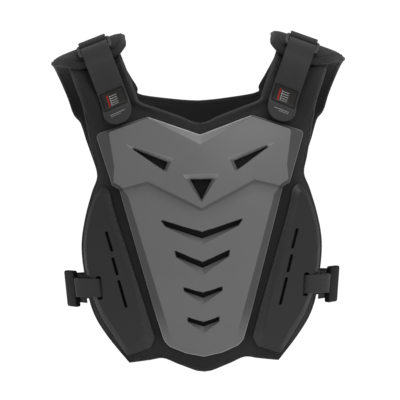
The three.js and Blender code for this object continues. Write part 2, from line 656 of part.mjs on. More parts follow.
function wing() {
  const body = wingBody();
  const base = FOAM + SEAT;
  const outer = lifted(body, FRONT, (i, j) => base + wingHeight(i, j));
  const inner = lifted(body, FRONT, (i, j) => base + wingHeight(i, j) - WING_WALL);
  let plate = toSolid(sheet(outer, inner, FRONT));
  for (const slot of WING_SLOTS) plate = plate.subtract(toSolid(prism(slotRings(slot, WING_SLOT))));
  plate = plate.subtract(toSolid(prism(slotRings(STRAP_SLOT, STRAP_SLOT.width))));
  return toGeometry(plate);
}

// Back plate
function backShell() {
  const body = PLATE_ROWS.map((row) => PLATE_COLUMNS.map((across) => (
    skinPoint(BACK, BACK_HALF * row.rim * across, -BACK_DROP * lerp(row.middle, row.rimDown, across))
  )));
  const base = FOAM + SEAT;
  const last = PLATE_COLUMNS.length - 1;
  const height = (i, j) => (j === last ? SHELL_WALL : Math.max(BACK_RISE * PLATE_ROWS[i].crown, SHELL_WALL));
  const outer = lifted(body, BACK, (i, j) => base + height(i, j));
  const inner = lifted(body, BACK, (i, j) => base + height(i, j) - SHELL_WALL);
  return bothHalves(sheet(outer, inner, BACK));
}

// Point lifted square off the shoulder
function onShoulder(across, angle, lift) {
  const step = 2;
  const point = archPoint(across, angle);
  const sideways = archPoint(across + step, angle).sub(archPoint(across - step, angle));
  const along = archPoint(across, angle - step).sub(archPoint(across, angle + step));
  return point.addScaledVector(sideways.cross(along).normalize(), lift);
}

// The same place in the arch's own plane: x runs towards the back and y upward
function inArchPlane(angle, lift) {
  const turn = degrees(angle);
  const point = new THREE.Vector2(-ARCH_FRONT * Math.sin(turn), ARCH_HEIGHT * (Math.cos(turn) - 1));
  const normal = new THREE.Vector2(-Math.sin(turn) / ARCH_FRONT, Math.cos(turn) / ARCH_HEIGHT);
  return point.addScaledVector(normal.normalize(), lift);
}

// Band over a shoulder. A point of its path has an angle and a lift, or a place in the arch's plane,
// and the middle and half width of the band there.
function shoulderBand(path, side, thickness, shift = 0) {
  const middle = path.map((point) => BAND_COLUMNS.map((share) => {
    const across = point.across + share * point.half;
    if (!point.plane) return onShoulder(across, point.angle, point.lift);
    const place = fromShoulder(across, -point.plane.y);
    return new THREE.Vector3(place.x, point.plane.x, place.z);
  }));
  const outer = lifted(middle, side, () => shift + thickness / 2);
  const inner = lifted(middle, side, () => shift - thickness / 2);
  return sheet(outer, inner, side);
}

const BAND_COLUMNS = [-1, -0.5, 0, 0.5, 1];
const FLAP_TOP = ARM_ROLL + GAP + SEAT + FOAM;          // outer face of the back pad's flap
const FOLD_RADIUS = RING_BAR / 2 + GAP * 3 + WEB / 2;    // webbing's middle round a bar of the ring
const STRAP_REST = FLAP_TOP + GAP * 2 + WEB / 2;         // middle of a band lying on the flap
const RING_LIFT = STRAP_REST + FOLD_RADIUS;
const ringMiddle = inArchPlane(RING_ANGLE, RING_LIFT);
const ringAlong = inArchPlane(RING_ANGLE - 1, RING_LIFT)
  .sub(inArchPlane(RING_ANGLE + 1, RING_LIFT)).normalize();
const ringOut = new THREE.Vector2(-ringAlong.y, ringAlong.x);

// Half turn of webbing round the ring's near bar, -1, or far bar, 1, from under the bar to over it.
// slack is how far the fold stands loose past the bar.
function barFold(side, slack = 0) {
  const reach = (RING_LENGTH - RING_BAR) / 2 - slack;
  const bar = ringMiddle.clone().addScaledVector(ringAlong, side * reach);
  const turns = [-90, -60, -30, 0, 30, 60, 90].map(degrees);
  const arc = turns.map((turn) => bar.clone()
    .addScaledVector(ringAlong, -side * FOLD_RADIUS * Math.cos(turn))
    .addScaledVector(ringOut, FOLD_RADIUS * Math.sin(turn)));
  const run = ringAlong.clone().multiplyScalar(side * (RING_BAR * 0.6 + slack));
  return [arc[0].clone().add(run), ...arc, arc[6].clone().add(run)].map((plane) => ({ plane }));
}

// Free end of the shoulder strap, from the ring down to its rounded tip, as the lift of its middle
const ON_PLATE = FOAM + SEAT + GAP + WEB / 2;
const STRAP_END = [
  { angle: 53, lift: FLAP_TOP + (GAP + WEB) * 2, width: 1 },
  { angle: 61, lift: lerp(ARM_CHANNEL, FLAP_TOP, 0.85) + (GAP + WEB) * 2, width: 1 },
  { angle: 70, lift: lerp(ARM_CHANNEL, FLAP_TOP, 0.45) + (GAP + WEB) * 2, width: 1 },
  { angle: 80, lift: ARM_CHANNEL + (GAP + WEB) * 2 + 1.5, width: 1 },
  { angle: 92, lift: ARM_CHANNEL + (GAP + WEB) * 2, width: 1 },
  { angle: 104, lift: ARM_CHANNEL + (GAP + WEB) * 2 + 2, width: 1 },
  { angle: 112, lift: ON_PLATE + SHELL_RISE * 0.5, width: 1 },
  { angle: 120, lift: ON_PLATE + SHELL_RISE * 0.66, width: 0.96 },
  { angle: 127, lift: ON_PLATE + SHELL_RISE * 0.74, width: 0.78 },
  { angle: 131, lift: ON_PLATE + SHELL_RISE * 0.78, width: 0.52 },
  { angle: 133, lift: ON_PLATE + SHELL_RISE * 0.8, width: 0.24 },
];

// Shoulder strap: up from the front arm, round the ring's near bar and down over itself
function shoulderStrap() {
  const under = STRAP_END.slice(0, 6).reverse()
    .map((point) => ({ angle: point.angle, lift: point.lift - GAP - WEB }));
  const path = [...under, ...barFold(-1, STRAP_SLACK), ...STRAP_END].map((point) => ({
    ...point,
    across: -STRAP_SHIFT,
    half: STRAP_WIDTH / 2 * (point.width ?? 1),
  }));
  return shoulderBand(path, FRONT, WEB);
}

// Patch sewn on the strap above its tip
function strapLabel() {
  const start = LABEL_START;
  const end = start - LABEL_HEIGHT / (degrees(1) * ARCH_HEIGHT);
  const lift = (angle) => {
    const next = STRAP_END.findIndex((row) => row.angle >= angle);
    const [from, to] = [STRAP_END[next - 1], STRAP_END[next]];
    return lerp(from.lift, to.lift, (angle - from.angle) / (to.angle - from.angle));
  };
  const inside = STRAP_END.map((row) => row.angle).filter((angle) => angle > end && angle < start);
  const path = [start, ...inside.reverse(), end].map((angle) => ({
    angle, lift: lift(angle), across: -STRAP_SHIFT, half: LABEL_WIDTH / 2,
  }));
  return shoulderBand(path, FRONT, LABEL_THICK, (WEB + LABEL_THICK) / 2 + GAP);
}

// Webbing over the ring's far bar and down the back of the arm
function ringAnchor() {
  const path = [-66, -48, -30, -14, 0, 12].map((angle) => ({ angle, lift: STRAP_REST }));
  path.push(...barFold(1));
  path.push({ angle: 8, lift: STRAP_REST + FOLD_RADIUS * 0.8 });
  const full = path.map((point) => ({ ...point, across: -STRAP_SHIFT, half: ANCHOR_WIDTH / 2 }));
  return shoulderBand(full, BACK, WEB);
}

// Shoulder ring, lying on the flap square to the arch
function ringFrame() {
  const inSpace = (across, plane) => {
    const place = fromShoulder(across, -plane.y);
    return new THREE.Vector3(place.x, plane.x, place.z);
  };
  const origin = inSpace(-STRAP_SHIFT, ringMiddle);
  const x = new THREE.Vector3(Math.cos(lean), 0, -Math.sin(lean));
  const y = inSpace(-STRAP_SHIFT, ringMiddle.clone().add(ringAlong)).sub(origin).normalize();
  return new THREE.Matrix4().makeBasis(x, y, x.clone().cross(y)).setPosition(origin);
}

function roundedRectangle(path, width, height, radius) {
  const w = width / 2 - radius;
  const h = height / 2 - radius;
  path.absarc(w, h, radius, 0, Math.PI / 2);
  path.absarc(-w, h, radius, Math.PI / 2, Math.PI);
  path.absarc(-w, -h, radius, Math.PI, Math.PI * 1.5);
  path.absarc(w, -h, radius, Math.PI * 1.5, Math.PI * 2);
  path.closePath();
  return path;
}

function strapRing() {
  const outline = roundedRectangle(new THREE.Shape(), RING_WIDTH, RING_LENGTH, RING_BAR);
  const window = roundedRectangle(new THREE.Path(), RING_WIDTH - 2 * RING_BAR, RING_LENGTH - 2 * RING_BAR, 1);
  outline.holes.push(window);
  const depth = RING_BAR * 0.6;
  const bevel = RING_BAR * 0.2;
  const geometry = new THREE.ExtrudeGeometry(outline, {
    depth, curveSegments: 3, bevelEnabled: true, bevelThickness: bevel, bevelSize: bevel * 0.6,
    bevelOffset: -bevel * 0.6, bevelSegments: 1,
  });
  return geometry.translate(0, 0, -depth / 2);
}

// Side straps: plan of a band around the body, leaning with the waist
const sideLean = degrees(SIDE_LEAN);
function sideBand(plan, thickness, width, middle) {
  const square = plan.map((_, i) => {
    const ahead = plan[Math.min(i + 1, plan.length - 1)].clone().sub(plan[Math.max(i - 1, 0)]);
    return new THREE.Vector2(ahead.y, -ahead.x).normalize();
  });
  const offset = (sign) => plan.map((point, i) => {
    const place = point.clone().addScaledVector(square[i], sign * thickness / 2);
    return [-0.5, 0, 0.5].map((share) => new THREE.Vector3(
      place.x + share * width * Math.sin(sideLean), place.y, middle + share * width * Math.cos(sideLean),
    ));
  });
  const geometry = sheetGeometry(offset(1), offset(-1));
  return signedVolume(geometry) < 0 ? flipped(geometry) : geometry;
}

function signedVolume(geometry) {
  const position = geometry.getAttribute('position');
  const index = geometry.getIndex();
  const corner = (i) => new THREE.Vector3().fromBufferAttribute(position, index.getX(i));
  let volume = 0;
  for (let i = 0; i < index.count; i += 3) {
    volume += corner(i).dot(corner(i + 1).cross(corner(i + 2))) / 6;
  }
  return volume;
}

const BUCKLE_PLACE = { x: PAD_HALF + BUCKLE_CLEAR, y: -31 };
const buckleTurn = degrees(BUCKLE_TURN);
// Point beside the buckle: along it towards the back, and out from its middle plane
function byBuckle(along, out) {
  return new THREE.Vector2(
    BUCKLE_PLACE.x + along * Math.sin(buckleTurn) + out * Math.cos(buckleTurn),
    BUCKLE_PLACE.y + along * Math.cos(buckleTurn) - out * Math.sin(buckleTurn),
  );
}

// Point on the pad's outer side at the side strap's height, lifted off the body
function besidePad(side, x, lift) {
  const step = 2;
  const z = -SIDE_HEIGHT;
  const point = skinPoint(side, x, z);
  const ahead = skinPoint(side, x + step, z).sub(skinPoint(side, x - step, z)).normalize();
  return new THREE.Vector2(point.x - side * ahead.y * lift, point.y + side * ahead.x * lift);
}

function smoothPlan(points, count) {
  return new THREE.SplineCurve(points).getPoints(count);
}

function sideStrap() {
  const behind = -(BUCKLE_THICK / 2 + GAP + WEB / 2);
  const plan = smoothPlan([
    besidePad(FRONT, PAD_HALF * 0.955, 2.5),
    byBuckle(-BUCKLE_LENGTH / 2 - 3, behind),
    byBuckle(-BUCKLE_LENGTH / 2 + 5, behind),
    byBuckle(BUCKLE_LENGTH / 2 - 5, behind),
    byBuckle(BUCKLE_LENGTH / 2 + 3, behind - 1),
    new THREE.Vector2(PAD_HALF + STRAP_CLEAR, 22),
    besidePad(BACK, BACK_HALF * 1.01, BINDING + GAP + WEB + 2.5),
    besidePad(BACK, BACK_HALF * 0.86, FOAM + GAP + WEB / 2 + 0.4),
    besidePad(BACK, BACK_HALF * 0.7, FOAM + GAP + WEB / 2 + 0.4),
  ], 20);
  return sideBand(plan, WEB, ELASTIC_WIDTH, -SIDE_HEIGHT);
}

// Webbing from the wing's slot into the buckle
function sideTab() {
  const front = -BUCKLE_LENGTH / 2;
  const seen = PAD_HALF * (STRAP_SLOT.upper + STRAP_SLOT.lower) / 2;
  const slot = under(FRONT, seen, TAB_RISE - SIDE_HEIGHT, FOAM + SEAT + WING_RISE).x;
  const plan = [
    besidePad(FRONT, slot - 1, FOAM + GAP + WEB * 0.8),
    besidePad(FRONT, slot + 1.4, FOAM + WING_RISE + 1.2),
    besidePad(FRONT, slot + 7, FOAM + WING_RISE + 3.4),
    besidePad(FRONT, PAD_HALF * 0.955, FOAM + WING_RISE + 4),
    byBuckle(front - 8, 0.8),
    byBuckle(front - 3, 0),
    byBuckle(front + BUCKLE_SLOT - 2, 0),
  ];
  return sideBand(plan, WEB, TAB_WIDTH, TAB_RISE - SIDE_HEIGHT);
}

// Side buckle: a moulded block with a slot for the tab in its front side
function buckle() {
  const outline = roundedRectangle(new THREE.Shape(), BUCKLE_LENGTH, BUCKLE_HEIGHT, 4);
  const bevel = 1.6;
  const block = new THREE.ExtrudeGeometry(outline, {
    depth: BUCKLE_THICK - 2 * bevel, curveSegments: 3, bevelEnabled: true, bevelThickness: bevel,
    bevelSize: bevel, bevelOffset: -bevel, bevelSegments: 1,
  });
  block.translate(0, 0, -(BUCKLE_THICK - 2 * bevel) / 2);
  const slot = new THREE.BoxGeometry(BUCKLE_SLOT * 2, TAB_WIDTH + 2 * GAP, WEB + 2 * GAP);
  slot.translate(-BUCKLE_LENGTH / 2, TAB_RISE, 0);
  return toGeometry(toSolid(block).subtract(toSolid(slot)));
}

// Materials
const finish = (color, roughness, metalness = 0) => (
  new THREE.MeshStandardMaterial({ color, roughness, metalness, flatShading: true })
);
const GREY_PLASTIC = finish(0x6c6c6c, 0.45);
const DARK_PLASTIC = finish(0x363636, 0.5);
const BLACK_FABRIC = finish(0x262626, 0.9);
const BLACK_WEB = finish(0x333333, 0.85);
const ELASTIC = finish(0x1d1d1d, 0.9);
const PATCH = finish(0x2c2e29, 0.7);
const FITTING = finish(0x2a2a2a, 0.4);

const model = new THREE.Group();
function add(name, geometry, material) {
  const mesh = new THREE.Mesh(geometry, material);
  mesh.name = name;
  model.add(mesh);
  return mesh;
}
function addPair(name, geometry, material) {
  add(`${name}_right`, geometry, material);
  add(`${name}_left`, mirrored(geometry), material);
}

add('front_pad', frontPad(), BLACK_FABRIC);
add('back_pad', backPad(), BLACK_FABRIC);
add('front_shell', chestShell(), GREY_PLASTIC);
add('back_shell', backShell(), DARK_PLASTIC);
addPair('wing', wing(), DARK_PLASTIC);
addPair('shoulder_strap', shoulderStrap(), BLACK_WEB);
addPair('strap_label', strapLabel(), PATCH);
addPair('ring_anchor', ringAnchor(), BLACK_WEB);
addPair('side_strap', sideStrap(), ELASTIC);
addPair('side_tab', sideTab(), BLACK_WEB);

for (const side of [-1, 1]) {
  const word = side < 0 ? 'left' : 'right';
  const ring = add(`strap_ring_${word}`, strapRing(), FITTING);
  const frame = ringFrame();
  const mirror = new THREE.Matrix4().makeScale(side, 1, 1);
  const turned = mirror.clone().multiply(frame).multiply(mirror);
  turned.decompose(ring.position, ring.quaternion, ring.scale);

  const sideBuckle = add(`side_buckle_${word}`, buckle(), FITTING);
  const along = new THREE.Vector3(side * Math.sin(buckleTurn), Math.cos(buckleTurn), 0);
  const up = new THREE.Vector3(side * Math.sin(sideLean), 0, Math.cos(sideLean));
  const out = along.clone().cross(up).normalize();
  const frameAxes = new THREE.Matrix4().makeBasis(along, out.clone().cross(along).normalize(), out);
  sideBuckle.quaternion.setFromRotationMatrix(frameAxes);
  sideBuckle.position.set(side * BUCKLE_PLACE.x, BUCKLE_PLACE.y, -SIDE_HEIGHT);
}

export default model;
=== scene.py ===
# %% [markdown]
# # A chest and back guard for off-road riding
# A hard chest plate and two side wings lie on a foam pad. Straps and rings join it over the shoulders to a
# back pad. The CAD model gives every piece its place, and this script gives each one its looks.
# Lengths are in metres. The chest faces -Y, and +X is to the right as seen from the front.

import math

import bmesh
import bpy
import numpy as np
from mathutils import Matrix, Vector
from mathutils.bvhtree import BVHTree
from mathutils.geometry import delaunay_2d_cdt


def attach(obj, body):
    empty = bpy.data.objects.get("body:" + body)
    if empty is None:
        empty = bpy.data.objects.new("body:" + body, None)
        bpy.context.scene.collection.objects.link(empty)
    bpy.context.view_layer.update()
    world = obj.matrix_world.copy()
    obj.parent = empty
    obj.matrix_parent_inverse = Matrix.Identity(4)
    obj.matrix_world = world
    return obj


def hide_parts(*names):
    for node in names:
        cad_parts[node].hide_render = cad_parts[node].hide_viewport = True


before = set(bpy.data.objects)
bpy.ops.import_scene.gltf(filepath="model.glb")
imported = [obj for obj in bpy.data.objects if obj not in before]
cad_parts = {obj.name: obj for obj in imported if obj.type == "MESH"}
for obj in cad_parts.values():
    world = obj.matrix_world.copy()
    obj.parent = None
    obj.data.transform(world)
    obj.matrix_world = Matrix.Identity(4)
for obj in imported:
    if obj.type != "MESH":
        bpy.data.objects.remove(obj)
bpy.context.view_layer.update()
MM = 0.001
print("CAD nodes:", len(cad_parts))

# %% [markdown]
# ## The wearer's body
# Every piece follows the body that it is worn on, so the body comes first, as a formula: an oval torso
# whose depth and width change from the shoulders down, and an arch over each shoulder. A formula gives a
# point and a direction at any place, which a scanned body would only give at its vertices.

# %% Body formula
FRONT = -1
BACK = 1
TORSO_HALF = 185 * MM
CHEST_DEPTH = 113 * MM
BACK_DEPTH = 96 * MM
SHOULDER_REACH = 145 * MM
LEAN = math.radians(20.5)
ARCH_FRONT = 72 * MM
ARCH_HEIGHT = 62 * MM
ARCH_BLEND = 70 * MM
PAD_HALF = 165 * MM
PAD_DROP = 428.5 * MM
BACK_HALF = 150 * MM
BACK_DROP = 405 * MM
FOAM = 9 * MM
SEAT = 0.8 * MM

# share of PAD_DROP down, chest depth, back depth, half width
BODY_PROFILE = np.array([
    (0.0, 0.55, 0.72, 1.25),
    (0.15, 0.71, 0.84, 1.19),
    (0.23, 0.79, 0.92, 1.15),
    (0.30, 0.875, 0.98, 1.11),
    (0.40, 0.955, 1.0, 1.05),
    (0.52, 1.0, 0.99, 1.01),
    (0.66, 1.0, 0.96, 1.0),
    (0.84, 0.975, 0.92, 1.0),
    (1.0, 0.925, 0.89, 1.0),
])


def between(table, column, place):
    """Value of a column at places along column 0, on a smooth curve through the rows."""
    keys = table[:, 0]
    values = table[:, column]
    low = np.maximum(np.arange(len(keys)) - 1, 0)
    high = np.minimum(np.arange(len(keys)) + 1, len(keys) - 1)
    slope = (values[high] - values[low]) / (keys[high] - keys[low])
    place = np.asarray(place, float)
    end = np.clip(np.searchsorted(keys, place, side="right"), 1, len(keys) - 1)
    span = keys[end] - keys[end - 1]
    s = np.clip((place - keys[end - 1]) / span, 0, 1)
    bend = s * (1 - s) * span * ((1 - s) * slope[end - 1] - s * slope[end])
    return values[end - 1] + (values[end] - values[end - 1]) * s * s * (3 - 2 * s) + bend


def smoothstep(value, low, high):
    t = np.clip((value - low) / (high - low), 0, 1)
    return t * t * (3 - 2 * t)


def mix(a, b, share):
    return a + (b - a) * share


def skin(side, x, z):
    """Points of the body at x and z, on the front or the back."""
    x, z = np.broadcast_arrays(np.asarray(x, float), np.asarray(z, float))
    down = -z / PAD_DROP
    half = TORSO_HALF * between(BODY_PROFILE, 3, down)
    reach = np.sqrt(np.maximum(1 - (x / half) ** 2, 0.02))
    depth = CHEST_DEPTH if side == FRONT else BACK_DEPTH
    torso = depth * between(BODY_PROFILE, 1 if side == FRONT else 2, down) * reach
    drop = np.maximum(-(np.abs(x) - SHOULDER_REACH) * math.sin(LEAN) - z * math.cos(LEAN), 0)
    rise = 1 - np.minimum(drop, ARCH_HEIGHT) / ARCH_HEIGHT
    arch = ARCH_FRONT * np.sqrt(1 - rise * rise)
    blend = smoothstep(drop, 0.6 * ARCH_HEIGHT, 0.6 * ARCH_HEIGHT + ARCH_BLEND)
    return np.stack([x, side * (arch + (torso - arch) * blend), z], axis=-1)


def unit(vectors):
    return vectors / np.linalg.norm(vectors, axis=-1, keepdims=True)


def outward(side, x, z):
    """Directions square to the body, away from it."""
    x = np.asarray(x, float)
    z = np.asarray(z, float)
    step = 1.5 * MM
    across = skin(side, x + step, z) - skin(side, x - step, z)
    along = skin(side, x, z + step) - skin(side, x, z - step)
    return unit(np.cross(across, along)) * -side


def from_shoulder(across, down):
    x = SHOULDER_REACH + across * math.cos(LEAN) - down * math.sin(LEAN)
    z = -across * math.sin(LEAN) - down * math.cos(LEAN)
    return x, z


def arch_drop(angle):
    turn = np.abs(angle)
    round_part = ARCH_HEIGHT * (1 - np.cos(np.radians(np.minimum(turn, 90))))
    return round_part + ARCH_HEIGHT * np.radians(np.maximum(turn - 90, 0))


def arch_point(across, angle):
    """Point on a shoulder: across the arch, and degrees in front of its top."""
    x, z = from_shoulder(across, arch_drop(angle))
    return skin(FRONT if angle >= 0 else BACK, x, z)


print("Body depth at the breastbone:", skin(FRONT, 0, -0.2)[1])

# %% [markdown]
# ## Meshes from grids
# Pads, straps and tapes are sheets: a grid of points in the middle of the sheet, lifted to both sides.
# Few rows are measured, so each grid is made finer on smooth curves through its points. A subdivision
# surface would do that too, but it pulls the outline inward, and here the outline is what was measured.

# %% Smooth curves through points
FINER = 4
CURVE_FLIP = np.array([-1, 1, 1, 1])
FLIP = CURVE_FLIP[:3]


def slope_at(points, keys):
    """Slope at the middle one of three points on an uneven scale."""
    before = (points[1] - points[0]) / (keys[1] - keys[0])
    whole = (points[2] - points[0]) / (keys[2] - keys[0])
    after = (points[2] - points[1]) / (keys[2] - keys[1])
    return before - whole + after


def refined_line(points, times, mirrored=False, before=None):
    """Points on smooth curves through the given ones, with times new steps for each old one."""
    points = np.asarray(points, float)
    first = 2 * points[0] - points[1] if before is None else before
    if mirrored:
        first = points[1] * CURVE_FLIP[:points.shape[-1]]
    last = 2 * points[-1] - points[-2]
    padded_points = np.concatenate([first[None], points, last[None]])
    lengths = np.linalg.norm(np.diff(padded_points[..., :3], axis=0), axis=-1)
    while lengths.ndim > 1:
        lengths = lengths.mean(axis=-1)
    keys = np.concatenate([[0], np.cumsum(np.sqrt(np.maximum(lengths, 1e-9)))])
    made = []
    for i in range(1, len(points)):
        p = padded_points[i - 1:i + 3]
        k = keys[i - 1:i + 3]
        leaving = slope_at(p[:3], k[:3]) * (k[2] - k[1])
        arriving = slope_at(p[1:], k[1:]) * (k[2] - k[1])
        for s in np.arange(times) / times:
            stay = 2 * s**3 - 3 * s**2 + 1
            ends = stay * p[1] + (1 - stay) * p[2]
            made.append(ends + (s**3 - 2 * s**2 + s) * leaving + (s**3 - s**2) * arriving)
    made.append(points[-1])
    return np.array(made)


def refined(grid, neck_row):
    """A finer grid. Its rows up to the neckline meet their mirror image in the middle plane."""
    fine = []
    for i, row in enumerate(grid):
        fine.append(refined_line(row, FINER, mirrored=i <= neck_row))
    fine = np.array(fine)
    lower = refined_line(fine[:neck_row + 1], FINER)
    share = smoothstep(np.arange(fine.shape[1]), 0, 2 * FINER)[:, None]
    before = mix(fine[neck_row + 1] * CURVE_FLIP, fine[neck_row - 1], share)
    upper = refined_line(fine[neck_row:], FINER, before=before)
    return np.concatenate([lower[:-1], upper])


print("Each step between measured points becomes", FINER)


# %% Closed meshes
def grid_normals(grid, side):
    """Directions square to a grid, away from the body. In the middle plane they stay in it."""
    along = np.gradient(grid[..., :3], axis=0)
    across = np.gradient(grid[..., :3], axis=1)
    normals = np.cross(across, along) * -side
    middle = np.abs(grid[:, 0, 0]) < 1e-7
    normals[middle, 0, 0] = 0
    return unit(normals)


def shown_object(name, data):
    made = bpy.data.objects.new(name, data)
    bpy.context.scene.collection.objects.link(made)
    return made


def mesh_object(name, points, faces, uv=None):
    """Object with a mesh of its own, and a map named Cloth where uv is given."""
    mesh = bpy.data.meshes.new(name)
    mesh.from_pydata([tuple(p) for p in points], [], [tuple(f) for f in faces])
    if uv is not None:
        layer = mesh.uv_layers.new(name="Cloth")
        loop_points = np.empty(len(mesh.loops), int)
        mesh.loops.foreach_get("vertex_index", loop_points)
        layer.data.foreach_set("uv", np.asarray(uv, np.float32)[loop_points].ravel())
    mesh.validate()
    return shown_object(name, mesh)


def closed_sheet(name, outer, inner, uv=None):
    """Closed mesh between two grids of points, wound so that its faces point outward."""
    rows, columns = outer.shape[:2]
    points = np.concatenate([outer[..., :3].reshape(-1, 3), inner[..., :3].reshape(-1, 3)])
    at = np.arange(2 * rows * columns).reshape(2, rows, columns)
    faces = []

    def quads(a, b, c, d):
        faces.extend(np.stack([a, b, c, d], axis=-1).reshape(-1, 4).tolist())

    quads(at[0, :-1, :-1], at[0, :-1, 1:], at[0, 1:, 1:], at[0, 1:, :-1])
    quads(at[1, :-1, :-1], at[1, 1:, :-1], at[1, 1:, 1:], at[1, :-1, 1:])
    off_middle = np.abs(outer[:, 0, 0]) > 1e-7
    lower = np.flatnonzero(off_middle[:-1] | off_middle[1:])
    quads(at[0, lower, 0], at[0, lower + 1, 0], at[1, lower + 1, 0], at[1, lower, 0])
    quads(at[0, :-1, -1], at[1, :-1, -1], at[1, 1:, -1], at[0, 1:, -1])
    quads(at[0, 0, :-1], at[1, 0, :-1], at[1, 0, 1:], at[0, 0, 1:])
    quads(at[0, -1, :-1], at[0, -1, 1:], at[1, -1, 1:], at[1, -1, :-1])
    if uv is not None:
        uv = np.concatenate([uv.reshape(-1, 2), uv.reshape(-1, 2)])
    made = mesh_object(name, points, faces, uv)
    point_outward(made)
    return made


def point_outward(piece):
    """Turns the faces of a closed or mirrored-open mesh so that its signed volume is positive."""
    mesh = bmesh.new()
    mesh.from_mesh(piece.data)
    if mesh.calc_volume(signed=True) < 0:
        bmesh.ops.reverse_faces(mesh, faces=mesh.faces)
    mesh.to_mesh(piece.data)
    mesh.free()


def with_mirror(piece):
    """Adds the mirror image of a half and welds the two along the middle plane."""
    mesh = bmesh.new()
    mesh.from_mesh(piece.data)
    copied = bmesh.ops.duplicate(mesh, geom=mesh.verts[:] + mesh.edges[:] + mesh.faces[:])["geom"]
    for vert in copied:
        if isinstance(vert, bmesh.types.BMVert):
            vert.co.x = -vert.co.x
    bmesh.ops.reverse_faces(mesh, faces=[f for f in copied if isinstance(f, bmesh.types.BMFace)])
    bmesh.ops.remove_doubles(mesh, verts=mesh.verts, dist=0.02 * MM)
    mesh.to_mesh(piece.data)
    mesh.free()
    point_outward(piece)
    return piece


def mirror_copy(piece, name):
    made = shown_object(name, piece.data.copy())
    mesh = bmesh.new()
    mesh.from_mesh(made.data)
    for vert in mesh.verts:
        vert.co.x = -vert.co.x
    bmesh.ops.reverse_faces(mesh, faces=mesh.faces)
    mesh.to_mesh(made.data)
    mesh.free()
    return made


def smooth(piece, angle=35):
    piece.data.shade_smooth()
    piece.data.set_sharp_from_angle(angle=math.radians(angle))
    return piece


def evaluated_mesh(piece):
    bpy.context.view_layer.update()
    return bpy.data.meshes.new_from_object(piece.evaluated_get(bpy.context.evaluated_depsgraph_get()))


def apply_modifiers(piece):
    """Puts the result of a piece's modifiers in its mesh."""
    made = evaluated_mesh(piece)
    piece.modifiers.clear()
    piece.data = made


def settle(piece, slot, *nodes):
    """Every piece of this guard is rigid with it: it rides on the one body and stands for its CAD nodes."""
    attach(piece, "root")
    if nodes:
        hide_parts(*nodes)
    print(piece.name, len(piece.data.polygons), "faces")


def settle_pair(right, left, slot, node):
    settle(right, slot, node + "_right")
    settle(left, slot, node + "_left")


print("Pads, bands and tapes are closed meshes of quads")

# %% [markdown]
# ## Moulded plates
# The plates are pressed or moulded plastic: a flat face, bevels down to a thin rim, and vents with sloped
# sides. A plate's height over the pad is a formula of the place on the chest. Its mesh has points where the
# shape turns, in rings beside each edge, and a loose field of points elsewhere. A Delaunay mesh joins them.
# A boolean cut would be shorter, but its long thin triangles spoil the gloss on a curved face.

# %% Outlines
FAR = 1e9
TINY = 1e-6
ON_LINE = 0.02 * MM


def rounded_outline(corners, spacing=2.0 * MM):
    """Closed line of points through corners (x, down, radius), with its corners rounded."""
    count = len(corners)
    line = []
    for i in range(count):
        x, down, radius = corners[i]
        here = np.array([x, -down])
        before = np.array([corners[i - 1][0], -corners[i - 1][1]])
        after = np.array([corners[(i + 1) % count][0], -corners[(i + 1) % count][1]])
        to_before = before - here
        to_after = after - here
        room = 0.48 * min(np.linalg.norm(to_before), np.linalg.norm(to_after))
        cosine = np.dot(unit(to_before), unit(to_after))
        half_angle = math.acos(np.clip(cosine, -0.9999, 0.9999)) / 2
        reach = min(radius / math.tan(half_angle), room)
        start = here + unit(to_before) * reach
        end = here + unit(to_after) * reach
        steps = max(2, int(math.degrees(math.pi - 2 * half_angle) / 12))
        for s in np.linspace(0, 1, steps + 1):
            line.append((1 - s) ** 2 * start + 2 * s * (1 - s) * here + s**2 * end)
    return even_line(np.array(line), spacing)


def even_line(line, spacing):
    """The same closed line, with extra points on its long stretches."""
    made = []
    for i in range(len(line)):
        a = line[i]
        b = line[(i + 1) % len(line)]
        steps = max(1, int(np.linalg.norm(b - a) / spacing))
        for s in range(steps):
            made.append(a + (b - a) * s / steps)
    made = np.array(made)
    keep = np.linalg.norm(made - np.roll(made, 1, axis=0), axis=1) > 0.15 * MM
    return made[keep]


def both_sides(corners):
    """Corners of a whole outline from those of its right half, listed from the middle to the middle."""
    left = [(-x, down, radius) for x, down, radius in reversed(corners) if x > 0]
    return list(corners) + left


def distance(points, outline):
    """Shortest distance from each point to a closed line."""
    best = np.full(len(points), FAR)
    for a, b in zip(outline, np.roll(outline, -1, axis=0)):
        along = b - a
        t = np.clip(((points - a) @ along) / max(along @ along, 1e-18), 0, 1)
        best = np.minimum(best, np.linalg.norm(points - (a + t[:, None] * along), axis=1))
    return best


def inside(points, outline):
    """Which points lie inside a closed line."""
    found = np.zeros(len(points), bool)
    for a, b in zip(outline, np.roll(outline, -1, axis=0)):
        crosses = (a[1] > points[:, 1]) != (b[1] > points[:, 1])
        if abs(b[1] - a[1]) > 1e-12:
            x = a[0] + (points[:, 1] - a[1]) * (b[0] - a[0]) / (b[1] - a[1])
            found ^= crosses & (points[:, 0] < x)
    return found


def ring(outline, inset):
    """The line moved inward by a distance, or outward by a negative one, without its crossings."""
    after = np.roll(outline, -1, axis=0)
    ahead = after - np.roll(outline, 1, axis=0)
    area = np.sum(outline[:, 0] * after[:, 1] - after[:, 0] * outline[:, 1])
    inward = unit(np.stack([-ahead[:, 1], ahead[:, 0]], axis=1)) * (1 if area > 0 else -1)
    moved = outline + inward * inset
    return moved[distance(moved, outline) > abs(inset) * 0.93 - 1e-9]


print("Outline points closer than", ON_LINE, "m to a line count as on it")


# %% Height and tone over a plate
RIM_INSETS = (0.35 * MM, 0.8 * MM, 1.4 * MM)


def on_bevel(points, face):
    return ~inside(points, face) & (distance(points, face) > 0.3 * MM)


